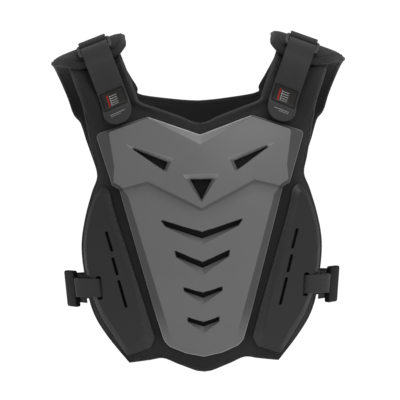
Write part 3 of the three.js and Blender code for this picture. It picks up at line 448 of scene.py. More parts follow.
def rim_and_bevel(points, outline, face, rim, start):
    """Height of a plate's rim over the body, and how far up the bevel each point is, from 0 to 1."""
    to_edge = distance(points, outline)
    to_face = distance(points, face)
    share = np.where(inside(points, face), 1, to_edge / np.maximum(to_edge + to_face, TINY))
    flange = rim * smoothstep(to_edge, -0.2 * MM, 0.7 * MM) + 1.2 * MM
    return FOAM + SEAT + flange, np.clip((share - start) / (1 - start), 0, 1)


def edge_rings(outline, face, reach):
    """Where a plate's mesh gets rings of points: inside its rim, and on both sides of its face's edge."""
    return [(outline, inset) for inset in RIM_INSETS] + [(face, inset) for inset in (-reach, 0, reach)]


def vent(corners, hole_corners, depth=5.5 * MM):
    """Outlines of a vent's bevel and hole, and how far its sides slope inward."""
    bevel = rounded_outline([(x, down, 0.8 * MM) for x, down in corners], 1.6 * MM)
    hole = rounded_outline([(x, down, 0.5 * MM) for x, down in hole_corners], 1.6 * MM)
    return bevel, hole, depth


print("Rings of points inside each plate's rim:", len(RIM_INSETS))


# %% Plates from outlines
FIELD = 3.2 * MM
# Painted highlight in a thin line along a plate's rim.
RIM_PAINTED_HIGHLIGHT = 0.5
# Painted light on a vent's bevel above its hole, and painted shade on its bevels beside and below it.
VENT_PAINTED_LIGHT_ABOVE = 1.45
VENT_PAINTED_SHADE_BESIDE = 0.74


def seen_at(side, points, lift, at_body=False):
    """Points that stand off the body by a lift and, on the chest, are seen from the front at x and z."""
    at = points.copy()
    for _ in range(6 if side == FRONT else 0):
        at = points - outward(side, at[:, 0], at[:, 1])[:, [0, 2]] * lift[:, None]
    stands = 0 if at_body else lift[:, None]
    return skin(side, at[:, 0], at[:, 1]) + outward(side, at[:, 0], at[:, 1]) * stands


def gaps_to(points, others):
    """Distance from each point to the nearest of the others, which are taken some at a time."""
    gap = np.full(len(points), FAR)
    for start in range(0, len(others), 200):
        some = others[start:start + 200]
        gap = np.minimum(gap, np.sqrt(((points[:, None] - some[None]) ** 2).sum(-1)).min(axis=1))
    return gap


def flat_mesh(outline, lines, vents):
    """Flat triangles between an outline and its holes, with points on the lines and a loose field between."""
    points = np.empty((0, 2))
    for line in lines:
        fresh = line[inside(line, outline) | (distance(line, outline) < ON_LINE)]
        points = np.concatenate([points, fresh[gaps_to(fresh, points) > 0.2 * MM]])
    low = outline.min(axis=0)
    high = outline.max(axis=0)
    xs = np.arange(low[0], high[0], FIELD)
    zs = np.arange(low[1], high[1], FIELD * 0.866)
    field = np.array([(x + (j % 2) * FIELD / 2, z) for j, z in enumerate(zs) for x in xs])
    field = field[inside(field, outline)]
    points = np.concatenate([points, field[gaps_to(field, points) > 1.3 * MM]])
    flat, _, faces, _, _, _ = delaunay_2d_cdt([Vector(p) for p in points], [], [], 0, 1e-7)
    flat = np.array([tuple(p) for p in flat])
    faces = np.array(faces)
    centres = flat[faces].mean(axis=1)
    keep = inside(centres, outline)
    for _, hole, _ in vents:
        keep &= ~inside(centres, hole)
    faces = faces[keep]
    used = np.unique(faces)
    number = np.full(len(flat), -1)
    number[used] = np.arange(len(used))
    return flat[used], number[faces]


def plate(name, side, outline, wall, height, vents=(), rings=(), creases=(), tone=None):
    """Plate on the body. height(points) is its height over the body, and vents are (bevel, hole, depth).
    rings are (line, inset) pairs, creases are open lines along which the mesh gets points, and
    tone(points) is the painted light and shade on the plastic, which the mesh keeps as the attribute Shade."""
    lines = [outline, *[ring(line, inset) for line, inset in rings]]
    for bevel, hole, _ in vents:
        lines += [ring(bevel, inset) for inset in (-0.55 * MM, 0.0, 0.5 * MM)]
        lines += [ring(hole, -0.4 * MM), hole]
    flat, faces = flat_mesh(outline, [*lines, *creases], vents)
    lift = height(flat)
    shade = np.ones(len(flat)) if tone is None else tone(flat)
    # Painted highlight in a thin line along the plate's rim.
    shade = shade * (1 + RIM_PAINTED_HIGHLIGHT * (distance(flat, outline) < 0.5 * MM))
    for bevel, hole, depth in vents:
        near = inside(flat, bevel) | (distance(flat, bevel) < ON_LINE)
        to_bevel = distance(flat[near], bevel)
        to_hole = distance(flat[near], hole)
        lift[near] -= depth * to_bevel / np.maximum(to_bevel + to_hole, TINY)
        gaps = flat[near][:, None] - hole[None]
        nearest = np.argmin((gaps ** 2).sum(-1), axis=1)
        rise = gaps[np.arange(len(gaps)), nearest][:, 1]
        above_hole = rise > 0.25 * to_hole + 0.3 * MM
        # Painted light on the bevel above the hole, painted shade on the other bevels.
        shade[near] = np.where(above_hole, VENT_PAINTED_LIGHT_ABOVE, VENT_PAINTED_SHADE_BESIDE)
    if side == BACK:
        faces = faces[:, ::-1]
    made = mesh_object(name, seen_at(side, flat, lift), faces)
    attribute = made.data.attributes.new("Shade", "FLOAT", "POINT")
    attribute.data.foreach_set("value", shade.astype(np.float32))
    solid = made.modifiers.new("Wall", "SOLIDIFY")
    solid.thickness = wall
    solid.offset = -1
    solid.use_even_offset = False
    apply_modifiers(made)
    return smooth(made, 38)


print("Plates get a point every", FIELD, "m between their lines")

# %% [markdown]
# ## Chest plate
# One pressed sheet of grey plastic. Its upper part stands over the lower one in a shallow V, a keel runs
# down the middle, and seven vents are pressed inward. The outline and the face inside its bevels are given
# by their corners, and a point between the two takes its height from its distance to both.

# %% Chest plate
SHELL_OUTLINE = rounded_outline(both_sides([
    (0, 0.4086, 0.006),
    (0.0241, 0.4036, 0.02),
    (0.0461, 0.3944, 0.014),
    (0.0530, 0.3867, 0.012),
    (0.0644, 0.3496, 0.03),
    (0.0884, 0.2619, 0.05),
    (0.1025, 0.2106, 0.03),
    (0.1098, 0.1835, 0.004),
    (0.1195, 0.1785, 0.004),
    (0.1251, 0.1599, 0.01),
    (0.1412, 0.1090, 0.007),
    (0.0704, 0.0868, 0.006),
    (0, 0.1127, 0.004),
]))
SHELL_FACE = rounded_outline(both_sides([
    (0, 0.4026, 0.005),
    (0.0230, 0.3970, 0.01),
    (0.0390, 0.3880, 0.01),
    (0.0440, 0.3790, 0.01),
    (0.0672, 0.2983, 0.04),
    (0.0975, 0.1930, 0.006),
    (0.1070, 0.1800, 0.003),
    (0.1170, 0.1740, 0.003),
    (0.1155, 0.1530, 0.006),
    (0.1225, 0.1070, 0.004),
    (0.0704, 0.0893, 0.004),
    (0, 0.1265, 0.003),
]))
SHELL_WALL = 2.6 * MM
# down, height of the middle and of the side
UPPER_FACE = np.array([(0.08, 12.0, 7.5), (0.13, 13.0, 8.6), (0.18, 13.2, 8.6), (0.22, 13.4, 8.2)])
LOWER_FACE = np.array([
    (0.17, 8.6, 6.6), (0.215, 9.2, 6.8), (0.25, 10.2, 7.0),
    (0.36, 10.0, 7.0), (0.39, 9.0, 6.6), (0.41, 7.0, 5.6),
])
SHELL_SIDE = np.array([(0.08, 0.142), (0.18, 0.120), (0.21, 0.101), (0.30, 0.078), (0.41, 0.052)])
RIDGE_X = np.array([-0.112, -0.071, 0, 0.071, 0.112])
RIDGE_Z = np.array([-0.1835, -0.1735, -0.2108, -0.1735, -0.1835])


def below_step(points):
    """Distance below the V-shaped ridge, negative above it."""
    return (np.interp(points[:, 0], RIDGE_X, RIDGE_Z) - points[:, 1]) * 0.9


def shell_height(points):
    down = -points[:, 1]
    across = np.abs(points[:, 0])
    share = np.clip(across / np.interp(down, SHELL_SIDE[:, 0], SHELL_SIDE[:, 1]), 0, 1) ** 1.35
    faces = []
    for table in (UPPER_FACE, LOWER_FACE):
        middle = between(table, 1, down)
        faces.append(mix(middle, between(table, 2, down), share) * MM)
    under = smoothstep(below_step(points), -0.4 * MM, 2.6 * MM)
    face = mix(faces[0], faces[1], under)
    rim, slope = rim_and_bevel(points, SHELL_OUTLINE, SHELL_FACE, 2.0 * MM, 0.14)
    return rim + (face - 3.2 * MM) * slope


def shell_painted_light(points):
    """Painted light and shade on the plastic: highlights on the neck's bevel and rim, shade on the side
    bevels and under the step.
    """
    across = np.abs(points[:, 0])
    down = -points[:, 1]
    bevel = on_bevel(points, SHELL_FACE)
    neck = bevel & (down < 0.128) & (across < 0.0695)
    # Painted shade on the side bevels, fading towards the bottom, and a painted highlight on the neck's
    # bevel.
    tone = 1 - 0.54 * (bevel & ~neck) * (1 - smoothstep(down, 0.335, 0.39))
    tone[neck] = 1.3
    # Painted highlight along the rim of the bevels.
    tone[bevel & (distance(points, SHELL_OUTLINE) < 1.1 * MM)] *= 1.9
    under = below_step(points)
    # Painted shadow under the V-shaped step, and a softer painted shade below it.
    step_painted_shadow = smoothstep(under, -0.2 * MM, 1 * MM) * (1 - smoothstep(under, 2.4 * MM, 4.5 * MM))
    soft = smoothstep(under, 2 * MM, 4 * MM) * (1 - smoothstep(under, 4 * MM, 20 * MM))
    return tone * (1 - 0.42 * step_painted_shadow - 0.16 * soft * smoothstep(across, 0.0, 0.03))


def mirror_corners(corners):
    return [(-x, down) for x, down in reversed(corners)]


EYE_BEVEL = [(0.1012, 0.1234), (0.0367, 0.1438), (0.0461, 0.1626)]
EYE_HOLE = [(0.0905, 0.1300), (0.0440, 0.1487), (0.0490, 0.1600)]
# half width and drop of the ends, of the lower ends, drop of the middle, the lower middle and the bevel
CHEVRONS = [
    (0.0551, 0.2251, 0.0486, 0.2349, 0.2419, 0.2511, 0.2591),
    (0.0375, 0.2656, 0.0348, 0.2756, 0.2819, 0.2901, 0.2995),
    (0.0266, 0.3146, 0.0254, 0.3208, 0.3224, 0.3299, 0.3381),
    (0.0221, 0.3543, 0.0210, 0.3614, 0.3614, 0.3679, 0.3769),
]
MIDDLE_BEVEL = [(0.0237, 0.1659), (-0.0237, 0.1659), (0, 0.2031)]
MIDDLE_HOLE = [(0.0145, 0.1724), (-0.0145, 0.1724), (0, 0.1998)]
# how far a hole lies inside its bevel: ends inward and down, middle down, lower ends inward and up
CHEVRON_INSET = (0.0018, 0.0011, 0.0006, 0.0004, 0.0009)


def chevron_corners(half, end, low_half, low_end, middle, low_middle):
    upper = [(-half, end), (0, middle), (half, end)]
    return upper + [(low_half, low_end), (0, low_middle), (-low_half, low_end)]


def chevron(half, end, low_half, low_end, middle, low_middle, bevel_low):
    side, top, top_middle, low_side, low = CHEVRON_INSET
    bevel = chevron_corners(half, end, low_half, low_end, middle, bevel_low)
    hole = chevron_corners(half - side, end + top, low_half - low_side, low_end - low, middle + top_middle,
                           low_middle)
    return vent(bevel, hole)


shell_vents = [
    vent(EYE_BEVEL, EYE_HOLE),
    vent(mirror_corners(EYE_BEVEL), mirror_corners(EYE_HOLE)),
    vent(MIDDLE_BEVEL, MIDDLE_HOLE),
    *[chevron(*sizes) for sizes in CHEVRONS],
]
keel = np.array([(0, z) for z in np.arange(-0.405, -0.115, 0.002)])
step_x = np.arange(-0.108, 0.1081, 0.002)
step_z = np.interp(step_x, RIDGE_X, RIDGE_Z)
step_lines = [np.stack([step_x, step_z - under * MM], axis=1) for under in (-0.4, 0.3, 1.2, 2.2, 3.2)]
front_shell = plate(
    "chest_plate", FRONT, SHELL_OUTLINE, SHELL_WALL, shell_height, shell_vents,
    rings=edge_rings(SHELL_OUTLINE, SHELL_FACE, 0.6 * MM), creases=[keel, *step_lines], tone=shell_painted_light,
)
settle(front_shell, "grey_plastic", "front_shell")

# %% [markdown]
# ## Side wings
# Two dark moulded plates cover the ribs. Each has a broad bevel along its inner edge, three narrow slots and
# a slot for the side strap. They are made as the chest plate is.

# %% Side wings
WING_OUTLINE = rounded_outline([
    (PAD_HALF * x, PAD_DROP * down, radius) for x, down, radius in [
        (0.622, 0.950, 0.004), (0.43, 0.925, 0.010), (0.392, 0.895, 0.008), (0.445, 0.826, 0.05),
        (0.505, 0.748, 0.05), (0.573, 0.665, 0.05), (0.630, 0.592, 0.05), (0.675, 0.537, 0.05),
        (0.718, 0.478, 0.03), (0.742, 0.432, 0.012), (0.798, 0.415, 0.012), (0.872, 0.449, 0.02),
        (0.918, 0.494, 0.03), (0.958, 0.553, 0.04), (0.974, 0.615, 0.04), (0.962, 0.682, 0.04),
        (0.910, 0.762, 0.04), (0.830, 0.832, 0.04), (0.720, 0.895, 0.04),
    ]
])
WING_FACE = rounded_outline([
    (PAD_HALF * x, PAD_DROP * down, radius) for x, down, radius in [
        (0.625, 0.925, 0.004), (0.52, 0.902, 0.008), (0.488, 0.880, 0.008), (0.535, 0.800, 0.05),
        (0.640, 0.672, 0.05), (0.705, 0.592, 0.05), (0.762, 0.520, 0.04), (0.790, 0.460, 0.01),
        (0.815, 0.440, 0.008), (0.860, 0.468, 0.02), (0.900, 0.510, 0.03), (0.935, 0.560, 0.04),
        (0.948, 0.615, 0.04), (0.936, 0.675, 0.04), (0.884, 0.750, 0.04), (0.806, 0.816, 0.04),
        (0.700, 0.875, 0.04),
    ]
])
WING_RISE = 7.5 * MM
WING_SLOT = 3.2 * MM
STRAP_SLOT_UPPER = (0.850, 0.701)
STRAP_SLOT_LOWER = (0.836, 0.773)


def wing_height(points):
    rim, slope = rim_and_bevel(points, WING_OUTLINE, WING_FACE, 1.6 * MM, 0.12)
    return rim + (WING_RISE - 2.8 * MM) * slope ** 0.8


def wing_painted_highlight(points):
    """Painted highlight along the bevel at the inner edge."""
    inner = np.interp(-points[:, 1], [0.18, 0.28, 0.40], [0.124, 0.098, 0.075])
    return np.where(on_bevel(points, WING_FACE) & (points[:, 0] < inner), 1.35, 1.0)


def slot_hole(upper, lower, width):
    """Narrow slot with round ends, as a vent whose bevel is only an edge."""
    a = np.array([upper[0] * PAD_HALF, -upper[1] * PAD_DROP])
    b = np.array([lower[0] * PAD_HALF, -lower[1] * PAD_DROP])
    along = unit(b - a)
    side = np.array([-along[1], along[0]]) * width / 2
    corners = [(p[0], -p[1]) for p in (a + side, a - side, b - side, b + side)]
    hole = rounded_outline([(x, down, width * 0.4) for x, down in corners], 1.6 * MM)
    return ring(hole, -0.7 * MM), hole, 0.8 * MM


wing_slots = [
    slot_hole((0.776, 0.561), (0.731, 0.622), WING_SLOT),
    slot_hole((0.727, 0.642), (0.690, 0.696), WING_SLOT),
    slot_hole((0.681, 0.713), (0.622, 0.797), WING_SLOT),
    slot_hole(STRAP_SLOT_UPPER, STRAP_SLOT_LOWER, 6.5 * MM),
]
wing_right = plate(
    "wing_plate_right", FRONT, WING_OUTLINE, 2.4 * MM, wing_height, wing_slots,
    rings=edge_rings(WING_OUTLINE, WING_FACE, 0.8 * MM), tone=wing_painted_highlight,
)
wing_left = mirror_copy(wing_right, "wing_plate_left")
settle_pair(wing_right, wing_left, "dark_plastic", "wing")

# %% [markdown]
# ## Back plate
# The photograph hides it, so it is a plain plate of the same kind: a smooth face, a bevel and a rim.

# %% Back plate
BACK_OUTLINE = rounded_outline(both_sides([
    (0, 0.3827, 0.01), (0.0480, 0.3706, 0.012), (0.0825, 0.3038, 0.05), (0.0960, 0.2430, 0.05),
    (0.1080, 0.1296, 0.03), (0.1100, 0.0950, 0.012), (0.1040, 0.0870, 0.01), (0, 0.0972, 0.02),
]))
BACK_FACE = rounded_outline(both_sides([
    (0, 0.3687, 0.01), (0.0400, 0.3586, 0.012), (0.0700, 0.3010, 0.05), (0.0830, 0.2430, 0.05),
    (0.0940, 0.1310, 0.03), (0.0950, 0.1080, 0.01), (0.0910, 0.1010, 0.01), (0, 0.1110, 0.02),
]))


def back_height(points):
    rim, slope = rim_and_bevel(points, BACK_OUTLINE, BACK_FACE, 1.8 * MM, 0.12)
    return rim + 6.0 * MM * slope


back_shell = plate(
    "back_plate", BACK, BACK_OUTLINE, SHELL_WALL, back_height,
    rings=edge_rings(BACK_OUTLINE, BACK_FACE, 0.8 * MM),
)
settle(back_shell, "dark_plastic", "back_shell")

# %% [markdown]
# ## Filled covers
# A pad's fabric cover is pulled a little tight over its foam. Sculpted by hand it would look different each
# time, so the cover is simulated: Blender's cloth under a low pressure, on an even mesh. How far a point may
# move is limited, because the foam inside doesn't give way, and the pad keeps its measured outline.

# %% Cloth under pressure
VOXEL = 4 * MM
CLOTH_FRAMES = 20
SWELL_LIMIT = 1.3 * MM


def coordinates(mesh):
    found = np.empty(len(mesh.vertices) * 3)
    mesh.vertices.foreach_get("co", found)
    return found


def fill_out(pad):
    """Blows a pad up a little as cloth under pressure."""
    even = pad.modifiers.new("Even", "REMESH")
    even.mode = "VOXEL"
    even.voxel_size = VOXEL
    apply_modifiers(pad)
    before = coordinates(pad.data)
    cloth = pad.modifiers.new("Cover", "CLOTH")
    cloth.settings.quality = 4
    cloth.settings.mass = 0.2
    cloth.settings.tension_stiffness = 12
    cloth.settings.compression_stiffness = 12
    cloth.settings.use_pressure = True
    cloth.settings.uniform_pressure_force = 4
    cloth.settings.effector_weights.gravity = 0
    cloth.point_cache.frame_start = 1
    cloth.point_cache.frame_end = CLOTH_FRAMES
    for number in range(1, CLOTH_FRAMES + 1):
        bpy.context.scene.frame_set(number)
    after = coordinates(pad.evaluated_get(bpy.context.evaluated_depsgraph_get()).data)
    pad.modifiers.clear()
    bpy.context.scene.frame_set(1)
    moved = (after - before).reshape(-1, 3)
    length = np.linalg.norm(moved, axis=1, keepdims=True)
    moved *= np.minimum(1, SWELL_LIMIT / np.maximum(length, 1e-9))
    pad.data.vertices.foreach_set("co", (before.reshape(-1, 3) + moved).ravel())
    rounder = pad.modifiers.new("Rounder", "SUBSURF")
    rounder.levels = 1
    rounder.render_levels = 1
    apply_modifiers(pad)
    point_outward(pad)
    print(pad.name, "moved by up to", round(float(length.max()) * 1000, 2), "mm before the limit")
    smooth(pad, 60)


print("A cover may swell by", SWELL_LIMIT, "m")

# %% [markdown]
# ## Foam pads
# Sheets of foam between two layers of knitted fabric, with a taped edge. The front pad's arms have a
# padded roll on each side of the strap. Rows of points run from the tip up the chest and over a shoulder.
# A pad could be cut out of the body's own surface, but the arms leave it, and rows follow them round.

# %% Rows of a pad
BINDING = 5 * MM
NOTCH = 12 * MM
NOTCH_AT = 0.55


def row_points(side, row, columns, half, drop, notch):
    """Row of a pad from its inner to its outer share of half width and drop, with a peak in the first one."""
    points = []
    for column in columns:
        x = half * mix(row[0], row[2], column[0])
        down = drop * mix(row[1], row[3], column[0])
        peak = max(1 - abs(column[0] - NOTCH_AT) / (1 - NOTCH_AT), 0)
        points.append(skin(side, x, -down + notch * peak))
    return points


def arm_points(inner, outer, columns, width, shift=0.0):
    return [arch_point(width * (c[0] - 0.5) + shift, mix(inner, outer, c[0])) for c in columns]


def thicknesses(columns, row, last_row, neck_row):
    """Thickness across one row: foam in the middle of the pad, and only binding at its free edges."""
    made = []
    for column in columns:
        foam = 1 if row < neck_row and column[0] < 0.5 else column[1]
        made.append(mix(BINDING, FOAM, 0 if row in (0, last_row) else foam))
    return made


def with_heights(points, heights):
    """Grid of points that carries a height as a fourth number, so that both are made finer together."""
    return np.concatenate([np.array(points), np.array(heights)[..., None]], axis=-1)


print("Foam and binding:", FOAM, BINDING)

# %% Front pad
ARM_CHANNEL = 5 * MM
ARM_ROLL = 10.5 * MM
ARM_WIDTH = 72 * MM
# inner share of PAD_HALF, inner share of PAD_DROP, outer share of each
PAD_ROWS = [
    (0, 1.0, 0.599, 0.972), (0, 0.945, 0.75, 0.901), (0, 0.87, 0.853, 0.8425), (0, 0.79, 0.912, 0.786),
    (0, 0.69, 0.957, 0.688), (0, 0.63, 0.973, 0.63), (0, 0.58, 0.97, 0.581), (0, 0.51, 0.936, 0.51),
    (0, 0.435, 0.878, 0.434), (0, 0.375, 0.835, 0.387), (0, 0.315, 0.864, 0.334), (0, 0.268, 0.891, 0.282),
    (0, 0.229, 0.912, 0.243), (0.164, 0.205, 0.927, 0.215), (0.327, 0.181, 0.939, 0.194),
    (0.492, 0.155, 0.952, 0.17),
]
NECK_ROW = 12
ARM_ROWS = [(100, 82), (86, 71), (70, 61), (52, 49), (36, 36), (20, 20), (5, 5), (-10, -10)]
# share across the pad, foam, roll beside the strap
PAD_COLUMNS = [
    (0.0, 0, 0.1), (0.045, 0.75, 0.85), (0.085, 1, 1.0), (0.115, 1, 0.6), (0.13, 1, 0), (0.35, 1, 0),
    (0.55, 1, 0), (0.71, 1, 0), (0.75, 1, 0.75), (0.83, 1, 1.0), (0.94, 0.75, 0.85), (1.0, 0, 0.1),
]


front_points = [
    row_points(FRONT, row, PAD_COLUMNS, PAD_HALF, PAD_DROP, NOTCH if i == 0 else 0)
    for i, row in enumerate(PAD_ROWS)
]
front_points += [arm_points(inner, outer, PAD_COLUMNS, ARM_WIDTH) for inner, outer in ARM_ROWS]
front_last = len(front_points) - 1
front_heights = []
for i in range(len(front_points)):
    on_arm = 0.0 if i == front_last else float(smoothstep(i, NECK_ROW, len(PAD_ROWS) - 1))
    flat = thicknesses(PAD_COLUMNS, i, front_last, NECK_ROW)
    rolls = [mix(ARM_CHANNEL, ARM_ROLL, roll) for _, _, roll in PAD_COLUMNS]
    front_heights.append([mix(low, high, on_arm) for low, high in zip(flat, rolls)])
front_grid = refined(with_heights(front_points, front_heights), NECK_ROW)
front_normals = grid_normals(front_grid, FRONT)
front_outer = front_grid[..., :3] + front_normals * front_grid[..., 3:]
front_pad = with_mirror(closed_sheet("front_foam_pad", front_outer, front_grid[..., :3]))
smooth(front_pad, 50)
fill_out(front_pad)
settle(front_pad, "pad_fabric", "front_pad")

# %% Back pad
FLAP_WIDTH = 105 * MM
FLAP_SHIFT = 5 * MM
FLAP_INWARD = 3 * MM
ARM_CLEAR = 1.2 * MM
BACK_ROWS = [
    (0, 1.0, 0.56, 0.968), (0, 0.93, 0.78, 0.91), (0, 0.83, 0.94, 0.82), (0, 0.72, 1.0, 0.716),
    (0, 0.605, 0.985, 0.605), (0, 0.506, 0.93, 0.506), (0, 0.407, 0.945, 0.42), (0, 0.32, 1.0, 0.35),
    (0, 0.242, 1.04, 0.305), (0, 0.185, 1.067, 0.275), (0, 0.141, 1.09, 0.248), (0.3, 0.131, 1.115, 0.222),
    (0.58, 0.112, 1.145, 0.2),
]
BACK_NECK_ROW = 10
# degrees behind the top of the shoulder, and mm taken off the inner side
BACK_ARM_ROWS = [(-84, 7), (-66, 11), (-48, 14), (-32, 14), (-16, 11), (0, 4)]
FLAP_ROWS = [0.25, 0.5, 0.75, 0.93, 1]
# share across, foam, and the flap's front end in degrees
BACK_COLUMNS = [
    (0.0, 0, 34), (0.06, 0.8, 43), (0.14, 1, 49), (0.3, 1, 50), (0.48, 1, 50), (0.65, 1, 49),
    (0.8, 1, 39), (0.93, 0.8, 23), (1.0, 0, 11),
]
back_points = [
    row_points(BACK, row, BACK_COLUMNS, BACK_HALF, BACK_DROP, NOTCH if i == 0 else 0)
    for i, row in enumerate(BACK_ROWS)
]
for angle, trim in BACK_ARM_ROWS:
    trim *= MM
    back_points.append(arm_points(angle, angle, BACK_COLUMNS, FLAP_WIDTH - trim, FLAP_SHIFT + trim / 2))
flap_width = FLAP_WIDTH + FLAP_INWARD
flap_shift = FLAP_SHIFT - FLAP_INWARD / 2
for share in FLAP_ROWS:
    places = [(flap_width * (across - 0.5) + flap_shift, share * end) for across, _, end in BACK_COLUMNS]
    back_points.append([arch_point(*place) for place in places])
back_lifts = []
back_thickness = []
for i in range(len(back_points)):
    over = float(smoothstep(i, BACK_NECK_ROW + 1, len(BACK_ROWS) + 2))
    back_lifts.append([over * (ARM_ROLL + ARM_CLEAR)] * len(BACK_COLUMNS))
    back_thickness.append(thicknesses(BACK_COLUMNS, i, len(back_points) - 1, BACK_NECK_ROW))
lift_grid = refined(with_heights(back_points, back_lifts), BACK_NECK_ROW)
thick_grid = refined(with_heights(back_points, back_thickness), BACK_NECK_ROW)
back_normals = grid_normals(lift_grid, BACK)
back_inner = lift_grid[..., :3] + back_normals * lift_grid[..., 3:]
back_outer = back_inner + back_normals * thick_grid[..., 3:]
back_pad = with_mirror(closed_sheet("back_foam_pad", back_outer, back_inner))
smooth(back_pad, 50)
fill_out(back_pad)
settle(back_pad, "pad_fabric", "back_pad")

# %% [markdown]
# ## Bound edges
# A knitted tape is folded over each pad's cut edge and sewn through. It is a closed ring of mesh: its
# section runs from one face round the edge to the other, and rays find the pad's surface under it. A curve
# with a bevel would be quicker, but it would float over the swollen cover or sink into it.

# %% Edge of a pad
TAPE = 4.6 * MM
# inset as a share of the tape's width, and mm over the pad, from the outer face's inside to the edge
TAPE_OUTER = ((1.0, -0.25), (0.99, 0.35), (0.9, 0.7), (0.55, 0.8), (0.2, 0.75))
TAPE_INNER = ((0.2, 0.6), (0.9, 0.6), (1.0, -0.25))
TAPE_EDGE = (0.62, 0.0, -0.62)
SEAM_AT = 0.72
EDGE_STEPS = 3


def rim_stations(outer, inner, neck_row):
    """Edge of a pad's right half, from the bottom's middle to the neckline's: middle, across, square."""
    rows, columns = outer.shape[:2]
    at = [(0, j) for j in range(columns - 1)] + [(i, columns - 1) for i in range(rows - 1)]
    at += [(rows - 1, j) for j in range(columns - 1, 0, -1)]
    at += [(i, 0) for i in range(rows - 1, neck_row - 1, -1)]
    rim = np.array([(outer[i, j] + inner[i, j]) / 2 for i, j in at])
    square = unit(np.array([outer[i, j] - inner[i, j] for i, j in at]))
    rows_in = [min(max(i, EDGE_STEPS), rows - 1 - EDGE_STEPS) for i, _ in at]
    columns_in = [min(max(j, EDGE_STEPS), columns - 1 - EDGE_STEPS) for _, j in at]
    toward = outer[rows_in, columns_in] - rim
    ahead = np.concatenate([rim[1:], rim[-2:-1] * FLIP]) - np.concatenate([rim[1:2] * FLIP, rim[:-1]])
    across = unit(np.cross(square, unit(ahead)))
    across *= np.sign(np.sum(across * toward, axis=1, keepdims=True))
    return rim, across, square


def outer_rim(outer, neck_row):
    """The outer face's own edge at the same stations."""
    edge = [outer[0, :-1], outer[:-1, -1], outer[-1, :0:-1], outer[:neck_row - 1:-1, 0]]
    return np.concatenate(edge)


def full_loop(right):
    return np.concatenate([right, right[-2:0:-1] * FLIP])


def evened(directions, reach=5):
    """Directions round a closed loop, each averaged with its neighbours."""
    total = sum(np.roll(directions, shift, axis=0) for shift in range(-reach, reach + 1))
    return unit(total)


print("A tape lies", TAPE, "m onto each face")


# %% Edge tapes
def closed_tube(name, rings):
    """Tube through rings of points, whose last ring joins the first."""
    count, sides = rings.shape[:2]
    faces = []
    for i in range(count):
        here = i * sides
        after = (i + 1) % count * sides
        for j in range(sides):
            k = (j + 1) % sides
            faces.append((here + j, here + k, after + k, after + j))
    made = mesh_object(name, rings.reshape(-1, 3), faces)
    point_outward(made)
    return smooth(made, 60)


def edge_tape(name, pad, outer, inner, neck_row):
    """Tape round the whole edge of a pad, and the line of its stitches on the outer face."""
    rim, across, square = (full_loop(part) for part in rim_stations(outer, inner, neck_row))
    across = evened(across)
    square = evened(square)
    mesh = bmesh.new()
    mesh.from_mesh(pad.data)
    surface = BVHTree.FromBMesh(mesh)
    mesh.free()
    half = np.linalg.norm(full_loop(outer_rim(outer, neck_row)) - rim, axis=1)

    def on_face(i, inset, sign, lift):
        start = rim[i] + across[i] * inset + square[i] * sign * 14 * MM
        hit = surface.ray_cast(Vector(start), Vector(-square[i] * sign), 30 * MM)[0]
        found = np.array(hit) if hit else rim[i] + across[i] * inset + square[i] * sign * half[i]
        return found + square[i] * sign * lift

    rings = []
    seam = []
    for i in range(len(rim)):
        section = [on_face(i, inset * TAPE, 1, lift * MM) for inset, lift in TAPE_OUTER]
        for share in TAPE_EDGE:
            bulge = (0.85 - 0.35 * abs(share)) * MM
            section.append(rim[i] - across[i] * bulge + square[i] * half[i] * share)
        section += [on_face(i, inset * TAPE, -1, lift * MM) for inset, lift in TAPE_INNER]
        section.append(rim[i] + across[i] * TAPE * 0.5)
        rings.append(section)
        seam.append(on_face(i, SEAM_AT * TAPE, 1, 0.95 * MM))
    return closed_tube(name, np.array(rings)), np.array(seam)


front_tape, front_stitches = edge_tape(
    "front_edge_tape", front_pad, front_outer, front_grid[..., :3], NECK_ROW * FINER,
)
back_tape, back_stitches = edge_tape(
    "back_edge_tape", back_pad, back_outer, back_inner, BACK_NECK_ROW * FINER,
)
settle(front_tape, "pad_fabric")
settle(back_tape, "pad_fabric")

# %% [markdown]
# ## Straps
# Flat webbing is a band with a path, a width and rounded edges. A simulation would only crumple it, so it is
# made directly, with a map of its width and length for the weave.

# %% Bands
GAP = 0.4 * MM
WEB = 2 * MM
RING_WIDTH = 48 * MM
RING_LENGTH = 27 * MM
RING_BAR = 4.5 * MM
RING_ANGLE = 37
STRAP_SHIFT = 6.8 * MM
STRAP_SLACK = 7 * MM
FLAP_TOP = ARM_ROLL + GAP + SEAT + FOAM
FOLD_RADIUS = RING_BAR / 2 + GAP * 3 + WEB / 2
STRAP_REST = FLAP_TOP + GAP * 2 + WEB / 2
STRAP_OVER = (GAP + WEB) * 2
RING_LIFT = STRAP_REST + FOLD_RADIUS
BAND_EDGES = np.array([-1, -0.985, -0.95, -0.85, -0.5, 0, 0.5, 0.85, 0.95, 0.985, 1])
BAND_ROUND = np.array([0.3, 0.62, 0.9, 1, 1, 1, 1, 1, 0.9, 0.62, 0.3])


def on_shoulder(across, angle, lift):
    step = 2
    sideways = arch_point(across + step * MM, angle) - arch_point(across - step * MM, angle)
    along = arch_point(across, angle - step) - arch_point(across, angle + step)
    return arch_point(across, angle) + unit(np.cross(sideways, along)) * lift


def in_arch_plane(angle, lift):
    turn = math.radians(angle)
    point = np.array([-ARCH_FRONT * math.sin(turn), ARCH_HEIGHT * (math.cos(turn) - 1)])
    return point + unit(np.array([-math.sin(turn) / ARCH_FRONT, math.cos(turn) / ARCH_HEIGHT])) * lift


def in_space(across, plane_point):
    x, z = from_shoulder(across, -plane_point[1])
    return np.array([x, plane_point[0], z])


ring_middle = in_arch_plane(RING_ANGLE, RING_LIFT)
ring_along = unit(in_arch_plane(RING_ANGLE - 1, RING_LIFT) - in_arch_plane(RING_ANGLE + 1, RING_LIFT))
ring_out = np.array([-ring_along[1], ring_along[0]])


